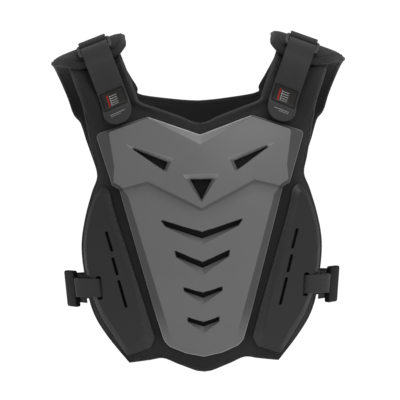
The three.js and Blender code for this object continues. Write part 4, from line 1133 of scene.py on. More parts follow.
def bar_fold(side, slack=0.0):
    """Half turn of webbing round the ring's near or far bar, in the arch's plane."""
    bar = ring_middle + ring_along * side * ((RING_LENGTH - RING_BAR) / 2 - slack)
    arc = []
    for turn in np.radians(range(-90, 91, 30)):
        inward = -ring_along * side * math.cos(turn)
        arc.append(bar + (inward + ring_out * math.sin(turn)) * FOLD_RADIUS)
    run = ring_along * side * (RING_BAR * 0.6 + slack)
    return [arc[0] + run, *arc, arc[-1] + run]


def shoulder_line(path, share):
    """One line of a band over the shoulder: its path, moved across by a share of its half width.
    A place is an angle and a lift, as a tuple, or a point in the arch's plane, as an array."""
    points = []
    for place, across, half in path:
        offset = across + share * half
        on_arch = isinstance(place, tuple)
        points.append(on_shoulder(offset, *place) if on_arch else in_space(offset, place))
    return np.array(points)


def band(name, middle, side, thickness, shift=0.0, round_ends=False):
    """Closed band with rounded edges along a grid of its middle line."""
    normals = grid_normals(middle, side)
    rounding = np.broadcast_to(BAND_ROUND[None], middle.shape[:2]).copy()
    if round_ends:
        rounding[0] *= 0.35
        rounding[-1] *= 0.35
    half = (thickness / 2 * rounding)[..., None]
    centre = middle + normals * shift
    steps = np.linalg.norm(np.diff(middle[:, 5], axis=0), axis=1)
    along = np.concatenate([[0], np.cumsum(steps)])
    widths = np.linalg.norm(middle[:, -1] - middle[:, 0], axis=1).max()
    uv = np.stack(np.meshgrid(BAND_EDGES * widths / 2, along), axis=-1)
    return smooth(closed_sheet(name, centre + normals * half, centre - normals * half, uv), 60)


def shoulder_band(name, path, side, thickness, shift=0.0, steps=3):
    """Band over a shoulder, from (place, across, half width) rows."""
    middle = np.stack([refined_line(shoulder_line(path, share), steps) for share in BAND_EDGES], axis=1)
    return band(name, middle, side, thickness, shift, round_ends=True)


ON_PLATE = FOAM + SEAT + GAP + WEB / 2
SHELL_RISE = 13 * MM
# degrees in front of the shoulder's top, lift, and share of the width
STRAP_END = [
    (53, FLAP_TOP + STRAP_OVER, 1), (61, mix(ARM_CHANNEL, FLAP_TOP, 0.85) + STRAP_OVER, 1),
    (70, mix(ARM_CHANNEL, FLAP_TOP, 0.45) + STRAP_OVER, 1), (80, ARM_CHANNEL + STRAP_OVER + 1.5 * MM, 1),
    (92, ARM_CHANNEL + STRAP_OVER, 1), (104, ARM_CHANNEL + STRAP_OVER + 2 * MM, 1),
    (112, ON_PLATE + SHELL_RISE * 0.5, 1), (120, ON_PLATE + SHELL_RISE * 0.66, 0.96),
    (127, ON_PLATE + SHELL_RISE * 0.74, 0.78), (131, ON_PLATE + SHELL_RISE * 0.78, 0.52),
    (133, ON_PLATE + SHELL_RISE * 0.8, 0.24),
]
HALF_STRAP = 19 * MM
strap_path = [((angle, lift - GAP - WEB), -STRAP_SHIFT, HALF_STRAP) for angle, lift, _ in STRAP_END[5::-1]]
strap_path += [(place, -STRAP_SHIFT, HALF_STRAP) for place in bar_fold(-1, STRAP_SLACK)]
strap_path += [((angle, lift), -STRAP_SHIFT, HALF_STRAP * width) for angle, lift, width in STRAP_END]
strap_right = shoulder_band("shoulder_webbing_right", strap_path, FRONT, WEB)
strap_left = mirror_copy(strap_right, "shoulder_webbing_left")
settle_pair(strap_right, strap_left, "webbing", "shoulder_strap")

# %% [markdown]
# ## Ring anchors and patches
# A second band holds the ring's far bar and is sewn to the back pad's arm. It is guessed from such guards,
# since the photograph shows only the ring's ends. A thin woven patch is sewn on each strap: it follows the
# strap's own path, a little above it, so that the two can't part.

# %% Ring anchors
HALF_ANCHOR = 19.5 * MM
anchor_places = [(angle, STRAP_REST) for angle in (-66, -48, -30, -14, 0, 12)]
anchor_places += [*bar_fold(1), (8, STRAP_REST + FOLD_RADIUS * 0.8)]
anchor_path = [(place, -STRAP_SHIFT, HALF_ANCHOR) for place in anchor_places]
anchor_right = shoulder_band("ring_webbing_right", anchor_path, BACK, WEB)
anchor_left = mirror_copy(anchor_right, "ring_webbing_left")
settle_pair(anchor_right, anchor_left, "webbing", "ring_anchor")

# %% Patches
PATCH = 0.8 * MM
HALF_PATCH = 16.5 * MM
PATCH_HEIGHT = 28 * MM
patch_start = 110
patch_end = patch_start - PATCH_HEIGHT / (math.radians(1) * ARCH_HEIGHT)
end_angles = [row[0] for row in STRAP_END]
end_lifts = [row[1] for row in STRAP_END]
between_ends = [angle for angle in reversed(end_angles) if patch_end < angle < patch_start]
label_path = [
    ((angle, float(np.interp(angle, end_angles, end_lifts))), -STRAP_SHIFT, HALF_PATCH)
    for angle in [patch_start, *between_ends, patch_end]
]
label_right = shoulder_band("strap_patch_right", label_path, FRONT, PATCH, (WEB + PATCH) / 2 + GAP, 6)
label_left = mirror_copy(label_right, "strap_patch_left")
for corner in label_left.data.uv_layers["Cloth"].data:
    corner.uv.x *= -1
print("Patch from", patch_start, "to", round(patch_end, 1), "degrees in front of the shoulder's top")
settle_pair(label_right, label_left, "patch", "strap_label")

# %% [markdown]
# ## Side straps
# An elastic band comes from under the front pad and runs behind the buckle and round the side to the back
# pad. A narrower webbing tab ties the buckle to the slot in the wing. Each is a band along a plan seen from
# above: the straps stand upright, so two numbers for each point are enough.

# %% Plans of the side straps
SIDE_HEIGHT = 319 * MM
SIDE_LEAN = math.radians(6)
UPRIGHT = (math.sin(SIDE_LEAN), 0, math.cos(SIDE_LEAN))
BUCKLE_TURN = math.radians(26)
BUCKLE_HEIGHT = 50 * MM
BUCKLE_LENGTH = 33 * MM
BUCKLE_THICK = 7 * MM
BUCKLE_SLOT = 9 * MM
TAB_RISE = 3 * MM
BUCKLE_X = PAD_HALF + 14.5 * MM
BUCKLE_Y = -31 * MM
STRAP_CLEAR = 20 * MM


def by_buckle(along, out):
    """Point in the plan, from the buckle's middle: along the strap, and out from the body."""
    x = BUCKLE_X + along * math.sin(BUCKLE_TURN) + out * math.cos(BUCKLE_TURN)
    y = BUCKLE_Y + along * math.cos(BUCKLE_TURN) - out * math.sin(BUCKLE_TURN)
    return np.array([x, y])


def beside_pad(side, x, lift):
    """Point in the plan beside the body at x, lifted off it."""
    step = 2 * MM
    z = -SIDE_HEIGHT
    ahead = unit((skin(side, x + step, z) - skin(side, x - step, z))[:2])
    point = skin(side, x, z)
    return np.array([point[0] - side * ahead[1] * lift, point[1] + side * ahead[0] * lift])


def side_band(name, plan, width, middle):
    """Upright band along a plan, leaning with the guard's side, with its middle at a height."""
    plan = refined_line(np.array([(*p, 0) for p in plan]), FINER)
    rise = BAND_EDGES[None, :, None] * width / 2 * np.array(UPRIGHT)
    return band(name, plan[:, None] + rise + np.array([0, 0, middle]), FRONT, WEB, round_ends=True)


print("Side straps cross the guard's side", SIDE_HEIGHT, "m below the shoulders")

# %% Elastic side straps
behind = -(BUCKLE_THICK / 2 + GAP + WEB / 2)
on_back = FOAM + GAP + WEB / 2 + 0.4 * MM
strap_plan = [
    beside_pad(FRONT, PAD_HALF * 0.955, 2.5 * MM),
    by_buckle(-BUCKLE_LENGTH / 2 - 3 * MM, behind),
    by_buckle(-BUCKLE_LENGTH / 2 + 5 * MM, behind),
    by_buckle(BUCKLE_LENGTH / 2 - 5 * MM, behind),
    by_buckle(BUCKLE_LENGTH / 2 + 3 * MM, behind - 1 * MM),
    np.array([PAD_HALF + STRAP_CLEAR, 22 * MM]),
    beside_pad(BACK, BACK_HALF * 1.01, BINDING + GAP + WEB + 2.5 * MM),
    beside_pad(BACK, BACK_HALF * 0.86, on_back),
    beside_pad(BACK, BACK_HALF * 0.7, on_back),
]
elastic_right = side_band("elastic_side_strap_right", strap_plan, 38 * MM, -SIDE_HEIGHT)
elastic_left = mirror_copy(elastic_right, "elastic_side_strap_left")
settle_pair(elastic_right, elastic_left, "elastic", "side_strap")

# %% Side tabs
tab_front = -BUCKLE_LENGTH / 2
on_wing = FOAM + WING_RISE
slot_share = (STRAP_SLOT_UPPER[0] + STRAP_SLOT_LOWER[0]) / 2
seen_slot = np.array([[PAD_HALF * slot_share, TAB_RISE - SIDE_HEIGHT]])
slot_x = seen_at(FRONT, seen_slot, np.array([FOAM + SEAT + WING_RISE]), at_body=True)[0, 0]
tab_plan = [
    beside_pad(FRONT, slot_x - 1 * MM, FOAM + GAP + WEB * 0.8),
    beside_pad(FRONT, slot_x + 1.4 * MM, on_wing + 1.2 * MM),
    beside_pad(FRONT, slot_x + 7 * MM, on_wing + 3.4 * MM),
    beside_pad(FRONT, PAD_HALF * 0.955, on_wing + 4 * MM),
    by_buckle(tab_front - 8 * MM, 0.8 * MM),
    by_buckle(tab_front - 3 * MM, 0),
    by_buckle(tab_front + BUCKLE_SLOT - 2 * MM, 0),
]
tab_right = side_band("side_tab_webbing_right", tab_plan, 25 * MM, TAB_RISE - SIDE_HEIGHT)
tab_left = mirror_copy(tab_right, "side_tab_webbing_left")
settle_pair(tab_right, tab_left, "webbing", "side_tab")

# %% [markdown]
# ## Rings and buckles
# Both are moulded plastic with round edges: the ring is an open loop and the buckle a block. A flat curve
# with or without a window, extruded and bevelled, gives either shape at once. A bevelled box would need its
# corners rounded first, and then its edges.

# %% Moulded loops
def outline_at(width, height, radius):
    corners = [(-1, -1), (1, -1), (1, 1), (-1, 1)]
    return rounded_outline([(a * width / 2, b * height / 2, radius) for a, b in corners], 2.5 * MM)


def moulded_loop(name, outlines, thick, bevel, matrix):
    """Flat shape with rounded edges between its outlines, of which the second one is a window."""
    curve = bpy.data.curves.new(name, "CURVE")
    curve.dimensions = "2D"
    curve.fill_mode = "BOTH"
    curve.extrude = thick / 2 - bevel
    curve.bevel_depth = bevel
    curve.bevel_resolution = 4
    curve.offset = -bevel
    for line in outlines:
        spline = curve.splines.new("POLY")
        spline.points.add(len(line) - 1)
        for point, (a, b) in zip(spline.points, line):
            point.co = (a, b, 0, 1)
        spline.use_cyclic_u = True
    shape = shown_object(name, curve)
    data = evaluated_mesh(shape)
    bpy.data.objects.remove(shape)
    bpy.data.curves.remove(curve)
    made = shown_object(name, data)
    mesh = bmesh.new()
    mesh.from_mesh(data)
    bmesh.ops.remove_doubles(mesh, verts=mesh.verts, dist=0.01 * MM)
    bmesh.ops.transform(mesh, matrix=matrix, verts=mesh.verts)
    mesh.to_mesh(data)
    mesh.free()
    point_outward(made)
    return smooth(made, 40)


def axes_matrix(origin, x, y):
    """Places a flat shape at an origin, with its own x and y along two directions."""
    x = Vector(x).normalized()
    z = x.cross(Vector(y)).normalized()
    y = z.cross(x)
    return Matrix.Translation(Vector(origin)) @ Matrix((x, y, z)).transposed().to_4x4()


print("Rings and buckles are bevelled curves made into meshes")

# %% Shoulder rings
ring_origin = in_space(-STRAP_SHIFT, ring_middle)
ring_ahead = in_space(-STRAP_SHIFT, ring_middle + ring_along) - ring_origin
ring_matrix = axes_matrix(ring_origin, (math.cos(LEAN), 0, -math.sin(LEAN)), ring_ahead)
ring_outline = outline_at(RING_WIDTH, RING_LENGTH, 4.5 * MM)
ring_window = outline_at(RING_WIDTH - 2 * RING_BAR, RING_LENGTH - 2 * RING_BAR, 1.2 * MM)
ring_right = moulded_loop(
    "shoulder_ring_right", [ring_outline, ring_window], RING_BAR, 1.3 * MM, ring_matrix,
)
ring_left = mirror_copy(ring_right, "shoulder_ring_left")
settle_pair(ring_right, ring_left, "fitting", "strap_ring")

# %% Side buckles
MOUTH = (BUCKLE_SLOT * 2, 25.8 * MM, 2.8 * MM)
BOX_CORNERS = [
    (-1, -1, -1), (1, -1, -1), (1, 1, -1), (-1, 1, -1), (-1, -1, 1), (1, -1, 1), (1, 1, 1), (-1, 1, 1),
]
BOX_FACES = [(3, 2, 1, 0), (4, 5, 6, 7), (0, 1, 5, 4), (1, 2, 6, 5), (2, 3, 7, 6), (3, 0, 4, 7)]
buckle_along = (math.sin(BUCKLE_TURN), math.cos(BUCKLE_TURN), 0)
buckle_matrix = axes_matrix((BUCKLE_X, BUCKLE_Y, -SIDE_HEIGHT), buckle_along, UPRIGHT)
buckle_outline = outline_at(BUCKLE_LENGTH, BUCKLE_HEIGHT, 4 * MM)
buckle_right = moulded_loop("buckle_right", [buckle_outline], BUCKLE_THICK, 1.6 * MM, Matrix())
mouth_points = np.array(BOX_CORNERS) * np.array(MOUTH) / 2 + np.array((-BUCKLE_LENGTH / 2, TAB_RISE, 0))
mouth = mesh_object("mouth", mouth_points, BOX_FACES)
opened = buckle_right.modifiers.new("Mouth", "BOOLEAN")
opened.operation = "DIFFERENCE"
opened.solver = "EXACT"
opened.object = mouth
apply_modifiers(buckle_right)
bpy.data.objects.remove(mouth)
buckle_right.data.transform(buckle_matrix)
smooth(buckle_right, 40)
buckle_left = mirror_copy(buckle_right, "buckle_left")
settle_pair(buckle_right, buckle_left, "fitting", "side_buckle")

# %% [markdown]
# ## Stitches
# A machine seam is one short thread after another. Geometry Nodes lays them along lines, so that their
# length and spacing stay two numbers. Modelled one by one, they would have to be redone for each change.

# %% Stitch tool
def stitch_group():
    group = bpy.data.node_groups.new("Stitches", "GeometryNodeTree")
    face = group.interface
    face.new_socket("Geometry", in_out="INPUT", socket_type="NodeSocketGeometry")
    for name, value in (("Spacing", 3.2 * MM), ("Length", 2.3 * MM), ("Thickness", 0.55 * MM)):
        face.new_socket(name, in_out="INPUT", socket_type="NodeSocketFloat").default_value = value
    face.new_socket("Thread", in_out="INPUT", socket_type="NodeSocketMaterial")
    face.new_socket("Geometry", in_out="OUTPUT", socket_type="NodeSocketGeometry")

    def node(kind, **inputs):
        made = group.nodes.new(kind)
        for key, value in inputs.items():
            socket = made.inputs[key.replace("_", " ")]
            if isinstance(value, bpy.types.NodeSocket):
                group.links.new(value, socket)
            else:
                socket.default_value = value
        return made

    source = group.nodes.new("NodeGroupInput").outputs
    line = node("GeometryNodeMeshToCurve", Mesh=source["Geometry"])
    even = group.nodes.new("GeometryNodeResampleCurve")
    even.mode = "LENGTH"
    group.links.new(line.outputs["Curve"], even.inputs["Curve"])
    group.links.new(source["Spacing"], even.inputs["Length"])
    tangent = node("GeometryNodeInputTangent")
    turn = node("FunctionNodeAlignRotationToVector", Vector=tangent.outputs["Tangent"])
    turn.axis = "X"
    size = node("ShaderNodeCombineXYZ", X=source["Length"], Y=source["Thickness"], Z=source["Thickness"])
    thread = node("GeometryNodeMeshUVSphere", Segments=8, Rings=6, Radius=0.5)
    laid = node(
        "GeometryNodeInstanceOnPoints", Points=even.outputs["Curve"], Instance=thread.outputs["Mesh"],
        Rotation=turn.outputs["Rotation"], Scale=size.outputs["Vector"],
    )
    real = node("GeometryNodeRealizeInstances", Geometry=laid.outputs["Instances"])
    smooth_faces = node("GeometryNodeSetShadeSmooth", Geometry=real.outputs["Geometry"])
    coloured = node(
        "GeometryNodeSetMaterial", Geometry=smooth_faces.outputs["Geometry"], Material=source["Thread"],
    )
    result = group.nodes.new("NodeGroupOutput")
    group.links.new(coloured.outputs["Geometry"], result.inputs["Geometry"])
    return group


STITCHES = stitch_group()


def stitches(name, lines, thread, **sizes):
    """Stitches along lines of points, which are (points, closed) pairs."""
    points = []
    edges = []
    for line, closed in lines:
        first = len(points)
        points += [tuple(p) for p in line]
        edges += [(i, i + 1) for i in range(first, len(points) - 1)]
        if closed:
            edges.append((len(points) - 1, first))
    data = bpy.data.meshes.new(name)
    data.from_pydata(points, edges, [])
    made = shown_object(name, data)
    tool = made.modifiers.new("Stitches", "NODES")
    tool.node_group = STITCHES
    sockets = {item.name: item.identifier for item in STITCHES.interface.items_tree if item.in_out == "INPUT"}
    tool[sockets["Thread"]] = thread
    for key, value in sizes.items():
        tool[sockets[key]] = value
    apply_modifiers(made)
    settle(made, "webbing")


print("Stitch tool inputs:", [item.name for item in STITCHES.interface.items_tree if item.in_out == "INPUT"])


# %% Lines to sew along
def band_line(path, across, lift, start, end, side=FRONT):
    """Line along a shoulder band, between two shares of its length, lifted off its middle."""
    whole = [refined_line(shoulder_line(path, share), FINER) for share in (-1, 0, 1)]
    middle = np.stack(whole, axis=1)
    normals = grid_normals(middle, side)
    half = np.linalg.norm(middle[:, 2] - middle[:, 0], axis=1) / 2
    share = across / np.maximum(half, TINY)
    line = middle[:, 1] + (middle[:, 2] - middle[:, 0]) / 2 * share[:, None] + normals[:, 1] * lift
    return line[int(start * (len(line) - 1)):int(end * (len(line) - 1)) + 1]


def patch_frame(path, half, lift):
    """Closed line just inside the edge of a patch."""
    right = band_line(path, half, lift, 0.04, 0.96)
    left = band_line(path, -half, lift, 0.04, 0.96)
    return np.concatenate([right, left[::-1]])


def mirror_lines(lines):
    return lines + [(line * FLIP, closed) for line, closed in lines]


print("Seams run along straps, anchors, patches and edge tapes")

# %% [markdown]
# ## Shader words
# A material is a graph of nodes. Written as Python expressions it stays short: a wrapped socket adds Math
# nodes when it is added or multiplied, and one method makes any other node.

# %% Shader words
class Wire:
    """An output socket that takes part in sums and products."""

    def __init__(self, paint, socket):
        self.paint = paint
        self.socket = socket

    def __add__(self, other):
        return self.paint.maths("ADD", self, other)

    def __sub__(self, other):
        return self.paint.maths("SUBTRACT", self, other)

    def __rsub__(self, other):
        return self.paint.maths("SUBTRACT", other, self)

    def __mul__(self, other):
        return self.paint.maths("MULTIPLY", self, other)

    def __truediv__(self, other):
        return self.paint.maths("DIVIDE", self, other)

    __radd__ = __add__
    __rmul__ = __mul__

    def sine(self):
        return self.paint.maths("SINE", self)

    def size(self):
        return self.paint.maths("ABSOLUTE", self)

    def ramp(self, low, high, bottom=0.0, top=1.0):
        """Smooth change from bottom to top as the value goes from low to high."""
        settings = {"interpolation_type": "SMOOTHSTEP"}
        return self.paint.node("ShaderNodeMapRange", settings, {0: self, 1: low, 2: high, 3: bottom, 4: top})

    def near(self, middle, reach, edge=0.15 * MM):
        """1 where the value is within reach of a middle, and 0 past a soft edge."""
        return (self - middle).size().ramp(reach, reach + edge, 1, 0)


class Paint:
    """A material under construction."""

    def __init__(self, name):
        self.material = bpy.data.materials.new(name)
        self.material.use_nodes = True
        self.tree = self.material.node_tree
        self.tree.nodes.clear()

    def node(self, kind, settings=None, inputs=None, output=0):
        made = self.tree.nodes.new(kind)
        for key, value in (settings or {}).items():
            setattr(made, key, value)
        for key, value in (inputs or {}).items():
            if isinstance(value, Wire):
                self.tree.links.new(value.socket, made.inputs[key])
            else:
                made.inputs[key].default_value = value
        return None if output is None else Wire(self, made.outputs[output])

    def maths(self, operation, *values):
        return self.node("ShaderNodeMath", {"operation": operation}, dict(enumerate(values)))

    def place(self):
        return self.node("ShaderNodeTexCoord", output="Object")

    def cloth(self):
        return self.node("ShaderNodeUVMap", {"uv_map": "Cloth"})

    def parts(self, vector):
        split = self.node("ShaderNodeSeparateXYZ", None, {0: vector})
        return [Wire(self, split.socket.node.outputs[i]) for i in range(3)]

    def noise(self, vector, scale, detail=2.0, roughness=0.5):
        values = {"Vector": vector, "Scale": scale, "Detail": detail, "Roughness": roughness}
        return self.node("ShaderNodeTexNoise", None, values, "Fac")

    def mix(self, a, b, share):
        return self.node("ShaderNodeMix", {"data_type": "RGBA"}, {0: share, 6: a, 7: b}, 2)

    def scaled(self, colour, share):
        return self.node("ShaderNodeVectorMath", {"operation": "SCALE"}, {0: colour, "Scale": share})

    def bump(self, height, strength, depth):
        values = {"Height": height, "Strength": strength, "Distance": depth}
        return self.node("ShaderNodeBump", None, values)

    def finish(self, **inputs):
        values = {key.replace("_", " "): value for key, value in inputs.items()}
        return self.show(self.node("ShaderNodeBsdfPrincipled", None, values))

    def show(self, shader):
        self.node("ShaderNodeOutputMaterial", None, {"Surface": shader}, output=None)
        return self.material


def grey(value, warmth=0.0):
    return (value * (1 + warmth), value, value * (1 - warmth), 1)


print("Shader words: sums, products, sine, size, ramp and near")

# %% [markdown]
# ## Plastic
# The plates are satin plastic with a fine grain, a slow change of gloss and a few hair scratches. A picture
# of such a surface would stretch on the bevels, so noise in the object's own space makes it. Where a mesh
# has the attribute Shade, the plastic's colour is scaled by it, which is painted light and shade.

# %% Plastic
def moulded_plastic(name, value, roughness, shaded=False, specular=0.5):
    paint = Paint(name)
    place = paint.place()
    slow = paint.noise(place, 14.0, 3.0)
    fine = paint.noise(place, 2600.0, 2.0, 0.6)
    stretched = paint.node("ShaderNodeMapping", None, {0: place, 3: (60.0, 60.0, 1400.0)})
    scratch = paint.noise(stretched, 1.0, 2.0)
    tone = paint.mix(grey(value * 0.9), grey(value * 1.1), slow)
    tone = paint.mix(tone, grey(value * 1.35), scratch.ramp(0.72, 0.8) * 0.25)
    # Painted light and shade: the colour is scaled by the mesh's Shade attribute.
    if shaded:
        shade = paint.node("ShaderNodeAttribute", {"attribute_name": "Shade"}, output="Fac")
        tone = paint.scaled(tone, shade)
    rough = roughness + (slow - 0.5) * 0.14 + (fine - 0.5) * 0.1
    bumps = paint.bump(fine, 0.06, 0.15 * MM)
    return paint.finish(Base_Color=tone, Roughness=rough, Normal=bumps, Specular_IOR_Level=specular)


grey_plastic = moulded_plastic("satin_grey_plastic", 0.205, 0.42, shaded=True)
dark_plastic = moulded_plastic("satin_dark_plastic", 0.026, 0.4, shaded=True)
ring_plastic = moulded_plastic("glossy_ring_plastic", 0.07, 0.25)
fitting_plastic = moulded_plastic("fitting_plastic", 0.008, 0.5, specular=0.15)
print("Plastics:", grey_plastic.name, dark_plastic.name, ring_plastic.name, fitting_plastic.name)

# %% [markdown]
# ## Knitted fabric
# The pads' cover is a black knit, with rows of small loops that only show from near by, and a soft sheen.
# Products of sine waves make the loops. Between the plates and at the top of the shoulders the cover is
# darker, as it is where little light gets in, and that is a soft box of places on the pad.

# %% Knitted fabric
def knitted(name, value, scale=900.0, shaded=False):
    paint = Paint(name)
    place = paint.place()
    x, y, z = paint.parts(place)
    loops = (x * scale * 2).sine() * (z * scale * 1.4 + (x * scale).sine() * 0.8).sine()
    fuzz = paint.noise(place, 1800.0, 3.0, 0.7)
    slow = paint.noise(place, 18.0, 3.0)
    tone = paint.mix(grey(value * 0.7), grey(value * 1.35), slow * 0.6 + loops * 0.2 + 0.1)
    if shaded:
        groove = x.size().ramp(0.118, 0.130, 1, 0) * y.ramp(-0.01, 0.01, 1, 0)
        groove = groove * z.ramp(-0.392, -0.375) * z.ramp(-0.17, -0.155, 1, 0)
        shade = groove * -0.5 + z.ramp(-0.03, -0.012) * -0.4 + 1
        tone = paint.scaled(tone, shade)
    relief = loops * 0.5 + fuzz
    return paint.finish(
        Base_Color=tone, Roughness=0.86, Normal=paint.bump(relief, 0.35, 0.4 * MM),
        Sheen_Weight=0.25, Sheen_Roughness=0.5, Specular_IOR_Level=0.3,
    )


pad_fabric = knitted("knitted_pad_fabric", 0.023, shaded=True)
tape_fabric = knitted("knitted_edge_tape", 0.036, 1400.0)
print("Knits:", pad_fabric.name, tape_fabric.name)

# %% [markdown]
# ## Webbing
# Woven nylon bands have ribs across their width and a plainer edge, and elastic has coarser ribs. The ribs
# have to follow each band round its folds, so the pattern reads the band's own map of its width and length.
# Near its tip, the shoulder strap has two lines of plain light dashes.

# %% Webbing
THREAD = 1.2 * MM


def webbing(name, value, ribs=1.1 * MM, edge=16.5 * MM, length=None):
    """Woven band. Where its length is given, it has dashes near its end."""
    paint = Paint(name)
    across, along, _ = paint.parts(paint.cloth())
    rib = (along * (2 * math.pi / ribs) + (across * (math.pi / THREAD)).sine() * 0.9).sine()
    thread = (across * (2 * math.pi / THREAD)).sine()
    rim = across.size().ramp(edge, edge + 0.6 * MM)
    weave = (rib * 0.6 + thread * 0.4) * (1 - rim * 0.6)
    slow = paint.noise(paint.place(), 40.0, 3.0)
    tone = paint.mix(grey(value * 0.75), grey(value * 1.3), weave * 0.25 + slow * 0.5 + 0.1)
    if length is not None:
        from_tip = length - along
        first = from_tip.near(15.2 * MM, 0.45 * MM)
        second = from_tip.near(12.6 * MM, 0.3 * MM) * across.ramp(-4 * MM, -3.8 * MM)
        marks = (first + second) * across.near(0, 11 * MM, 0.2 * MM)
        gaps = (across * (math.pi / (2.2 * MM))).sine().size().ramp(0.2, 0.35)
        tone = paint.mix(tone, grey(0.4), marks * gaps)
    return paint.finish(
        Base_Color=tone, Roughness=0.8, Normal=paint.bump(weave, 0.5, 0.35 * MM),
        Sheen_Weight=0.2, Sheen_Roughness=0.5, Specular_IOR_Level=0.3,
    )


anchor_webbing = webbing("charcoal_webbing", 0.052)
strap_length = np.linalg.norm(np.diff(shoulder_line(strap_path, 0), axis=0), axis=1).sum()
strap_webbing = webbing("strap_webbing", 0.052, length=float(strap_length))
tab_webbing = webbing("tab_webbing", 0.05, edge=11 * MM)
elastic_weave = webbing("ribbed_elastic", 0.018, 1.6 * MM)
print("Shoulder strap, from end to end:", round(float(strap_length), 3))

# %% [markdown]
# ## Patch and thread
# The patch is a fine dark weave with a dark border, a red bar and the light ticks of a ruler. Each mark is a
# product of soft steps across and along the patch's map, so it stays sharp from near by. The thread's twist
# is a fine noise.

# %% Patch and thread
PATCH_THREAD = 0.55 * MM
PATCH_RED = (0.42, 0.02, 0.015, 1)


def printed_patch():
    """Woven patch with a red bar and the ticks of a ruler."""
    paint = Paint("woven_patch")
    across, along, _ = paint.parts(paint.cloth())
    wave = 2 * math.pi / PATCH_THREAD
    weave = (across * wave).sine() * (along * wave).sine()
    base = paint.mix(grey(0.022, 0.05), grey(0.034, 0.05), weave * 0.5 + 0.5)
    up = along - 13.8 * MM
    bar = across.near(-8.2 * MM, 1.0 * MM, 0.25 * MM) * up.near(0, 9.5 * MM, 0.3 * MM)
    step = (up / (3.4 * MM) * math.pi).sine().size().ramp(0.35, 0.5, 1, 0)
    reach = across.ramp(-5.2 * MM, -5.0 * MM) * across.ramp(5.2 * MM, 5.4 * MM, 1, 0)
    ticks = step * reach * up.near(0, 8.4 * MM, 0.2 * MM)
    spine = across.near(-5.0 * MM, 0.3 * MM) * up.near(0, 8.6 * MM, 0.2 * MM)
    inner = across.near(0, 15.0 * MM, 0.2 * MM) * up.near(0, 12.6 * MM, 0.2 * MM)
    base = paint.mix(grey(0.008), base, inner)
    tone = paint.mix(base, PATCH_RED, bar)
    tone = paint.mix(tone, grey(0.5), paint.maths("MAXIMUM", ticks, spine))
    return paint.finish(
        Base_Color=tone, Roughness=0.75, Normal=paint.bump(weave, 0.3, 0.2 * MM),
        Sheen_Weight=0.15, Sheen_Roughness=0.5, Specular_IOR_Level=0.3,
    )


def thread_finish(name, value):
    paint = Paint(name)
    twist = paint.noise(paint.place(), 3000.0, 2.0)
    tone = paint.mix(grey(value * 0.8), grey(value * 1.25), twist)
    return paint.finish(Base_Color=tone, Roughness=0.7, Specular_IOR_Level=0.35)


patch_weave = printed_patch()
dark_thread = thread_finish("dark_thread", 0.05)
print("Patch and thread:", patch_weave.name, dark_thread.name)

# %% [markdown]
# ## Dressing and sewing
# Each piece gets its finish, and then the seams are laid: along both edge tapes, along the sewn ends of the
# straps and anchors, and round each patch. A bump in a material would look as fine from far away, but real
# threads stay in the mesh.

# %% Give the finishes to the pieces
def dress(material, *pieces):
    for piece in pieces:
        piece.data.materials.clear()
        piece.data.materials.append(material)


dress(grey_plastic, front_shell)
dress(dark_plastic, wing_right, wing_left, back_shell)
dress(pad_fabric, front_pad, back_pad)
dress(strap_webbing, strap_right, strap_left)
dress(anchor_webbing, anchor_right, anchor_left)
dress(patch_weave, label_right, label_left)
dress(tab_webbing, tab_right, tab_left)
dress(elastic_weave, elastic_right, elastic_left)
dress(fitting_plastic, buckle_right, buckle_left)
dress(ring_plastic, ring_right, ring_left)
dress(tape_fabric, front_tape, back_tape)
print("Materials:", len(bpy.data.materials))

# %% Sew
stitches("tape_stitches", [(front_stitches, True), (back_stitches, True)], dark_thread)
on_web = WEB / 2 + 0.25 * MM
on_patch = WEB / 2 + 1.3 * MM
strap_seams = []
for across in (-16.9 * MM, 16.9 * MM):
    strap_seams.append((band_line(strap_path, across, on_web, 0.56, 0.93), False))
    strap_seams.append((band_line(anchor_path, across, on_web, 0.62, 0.98, BACK), False))
strap_seams.append((patch_frame(label_path, 15.2 * MM, on_patch), True))
fine_thread = {"Spacing": 2.4 * MM, "Length": 1.7 * MM, "Thickness": 0.45 * MM}
stitches("strap_stitches", mirror_lines(strap_seams), dark_thread, **fine_thread)

# %% [markdown]
# ## Studio
# The photograph was taken from the front at a long distance, against pure white. The camera stands 2.4 m away
# at the height of the guard's middle, a little to the left, and is rolled by one degree. A long lens from
# there gives the flat perspective that a near camera with a wide lens wouldn't.

# %% Camera
CAMERA_DISTANCE = 2.4
CAMERA_TURN = math.radians(0.5)
CAMERA_ROLL = math.radians(-1.0)
camera_data = bpy.data.cameras.new("Camera")
camera_data.sensor_width = 36
camera_data.lens = 154.3
camera = shown_object("Camera", camera_data)
aim = Vector((-0.0008, 0, -0.2))
stand = aim - Vector((math.sin(CAMERA_TURN), math.cos(CAMERA_TURN), 0)) * CAMERA_DISTANCE
look = (aim - stand).to_track_quat("-Z", "Y").to_matrix().to_4x4()
camera.matrix_world = Matrix.Translation(stand) @ look @ Matrix.Rotation(CAMERA_ROLL, 4, "Z")
bpy.context.scene.camera = camera
print("Camera at", [round(value, 3) for value in stand])

# %% [markdown]
# ## Floor and light
# The guard hangs over a pale floor in a white room. What the camera sees directly is white, and what lights
# the guard is dimmer, or the dark plastic would wash out: the floor and the world tell the two apart with a
# Light Path node. A wide lamp in front on the right and one above give the plates their soft gloss.

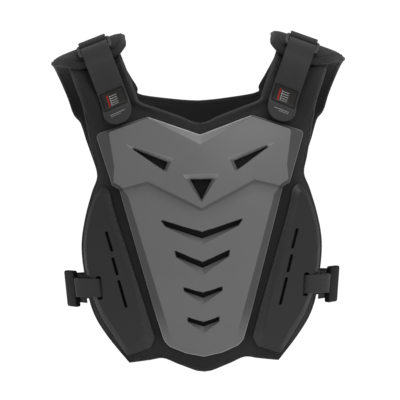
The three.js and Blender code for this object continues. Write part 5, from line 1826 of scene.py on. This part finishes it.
# %% Floor
FLOOR_HALF = 3
FLOOR_HEIGHT = -0.47
WHITE = 1.05
corner_signs = ((-1, -1), (1, -1), (1, 1), (-1, 1))
floor_corners = [(a * FLOOR_HALF, b * FLOOR_HALF, FLOOR_HEIGHT) for a, b in corner_signs]
floor = mesh_object("floor", floor_corners, [(0, 1, 2, 3)])
floor_paint = Paint("pale_floor")
floor_tone = floor_paint.mix(grey(0.93), grey(0.95), floor_paint.noise(floor_paint.place(), 3.0))
plain = floor_paint.node("ShaderNodeBsdfDiffuse", None, {"Color": floor_tone})
glow = floor_paint.node("ShaderNodeEmission", None, {"Color": grey(1.0), "Strength": WHITE})
seen_direct = floor_paint.node("ShaderNodeLightPath", output="Is Camera Ray")
glow_share = seen_direct * 0.75 + 0.25
both = floor_paint.node("ShaderNodeMixShader", None, {0: glow_share, 1: plain, 2: glow})
dress(floor_paint.show(both), floor)
print("Floor at", FLOOR_HEIGHT)

# %% World and lamps
ROOM_LIGHT = 0.3
world = bpy.data.worlds.new("studio")
world.use_nodes = True
background = world.node_tree.nodes["Background"]
background.inputs["Color"].default_value = (1, 1, 1, 1)
seen = world.node_tree.nodes.new("ShaderNodeLightPath").outputs["Is Camera Ray"]
strength = world.node_tree.nodes.new("ShaderNodeMapRange")
strength.inputs["To Min"].default_value = ROOM_LIGHT
strength.inputs["To Max"].default_value = WHITE
world.node_tree.links.new(seen, strength.inputs["Value"])
world.node_tree.links.new(strength.outputs["Result"], background.inputs["Strength"])
bpy.context.scene.world = world
bpy.context.scene.view_settings.view_transform = "Standard"


def soft_light(name, place, target, width, watts):
    data = bpy.data.lights.new(name, "AREA")
    data.shape = "SQUARE"
    data.size = width
    data.energy = watts
    light = shown_object(name, data)
    light.location = place
    light.rotation_euler = (Vector(target) - Vector(place)).to_track_quat("-Z", "Y").to_euler()
    print("Light", name, watts, "W")


soft_light("key", (0.9, -1.6, 1.2), (0, 0, -0.2), 1.4, 10)
soft_light("top", (0.2, -0.3, 1.9), (0, 0, -0.1), 1.6, 12)
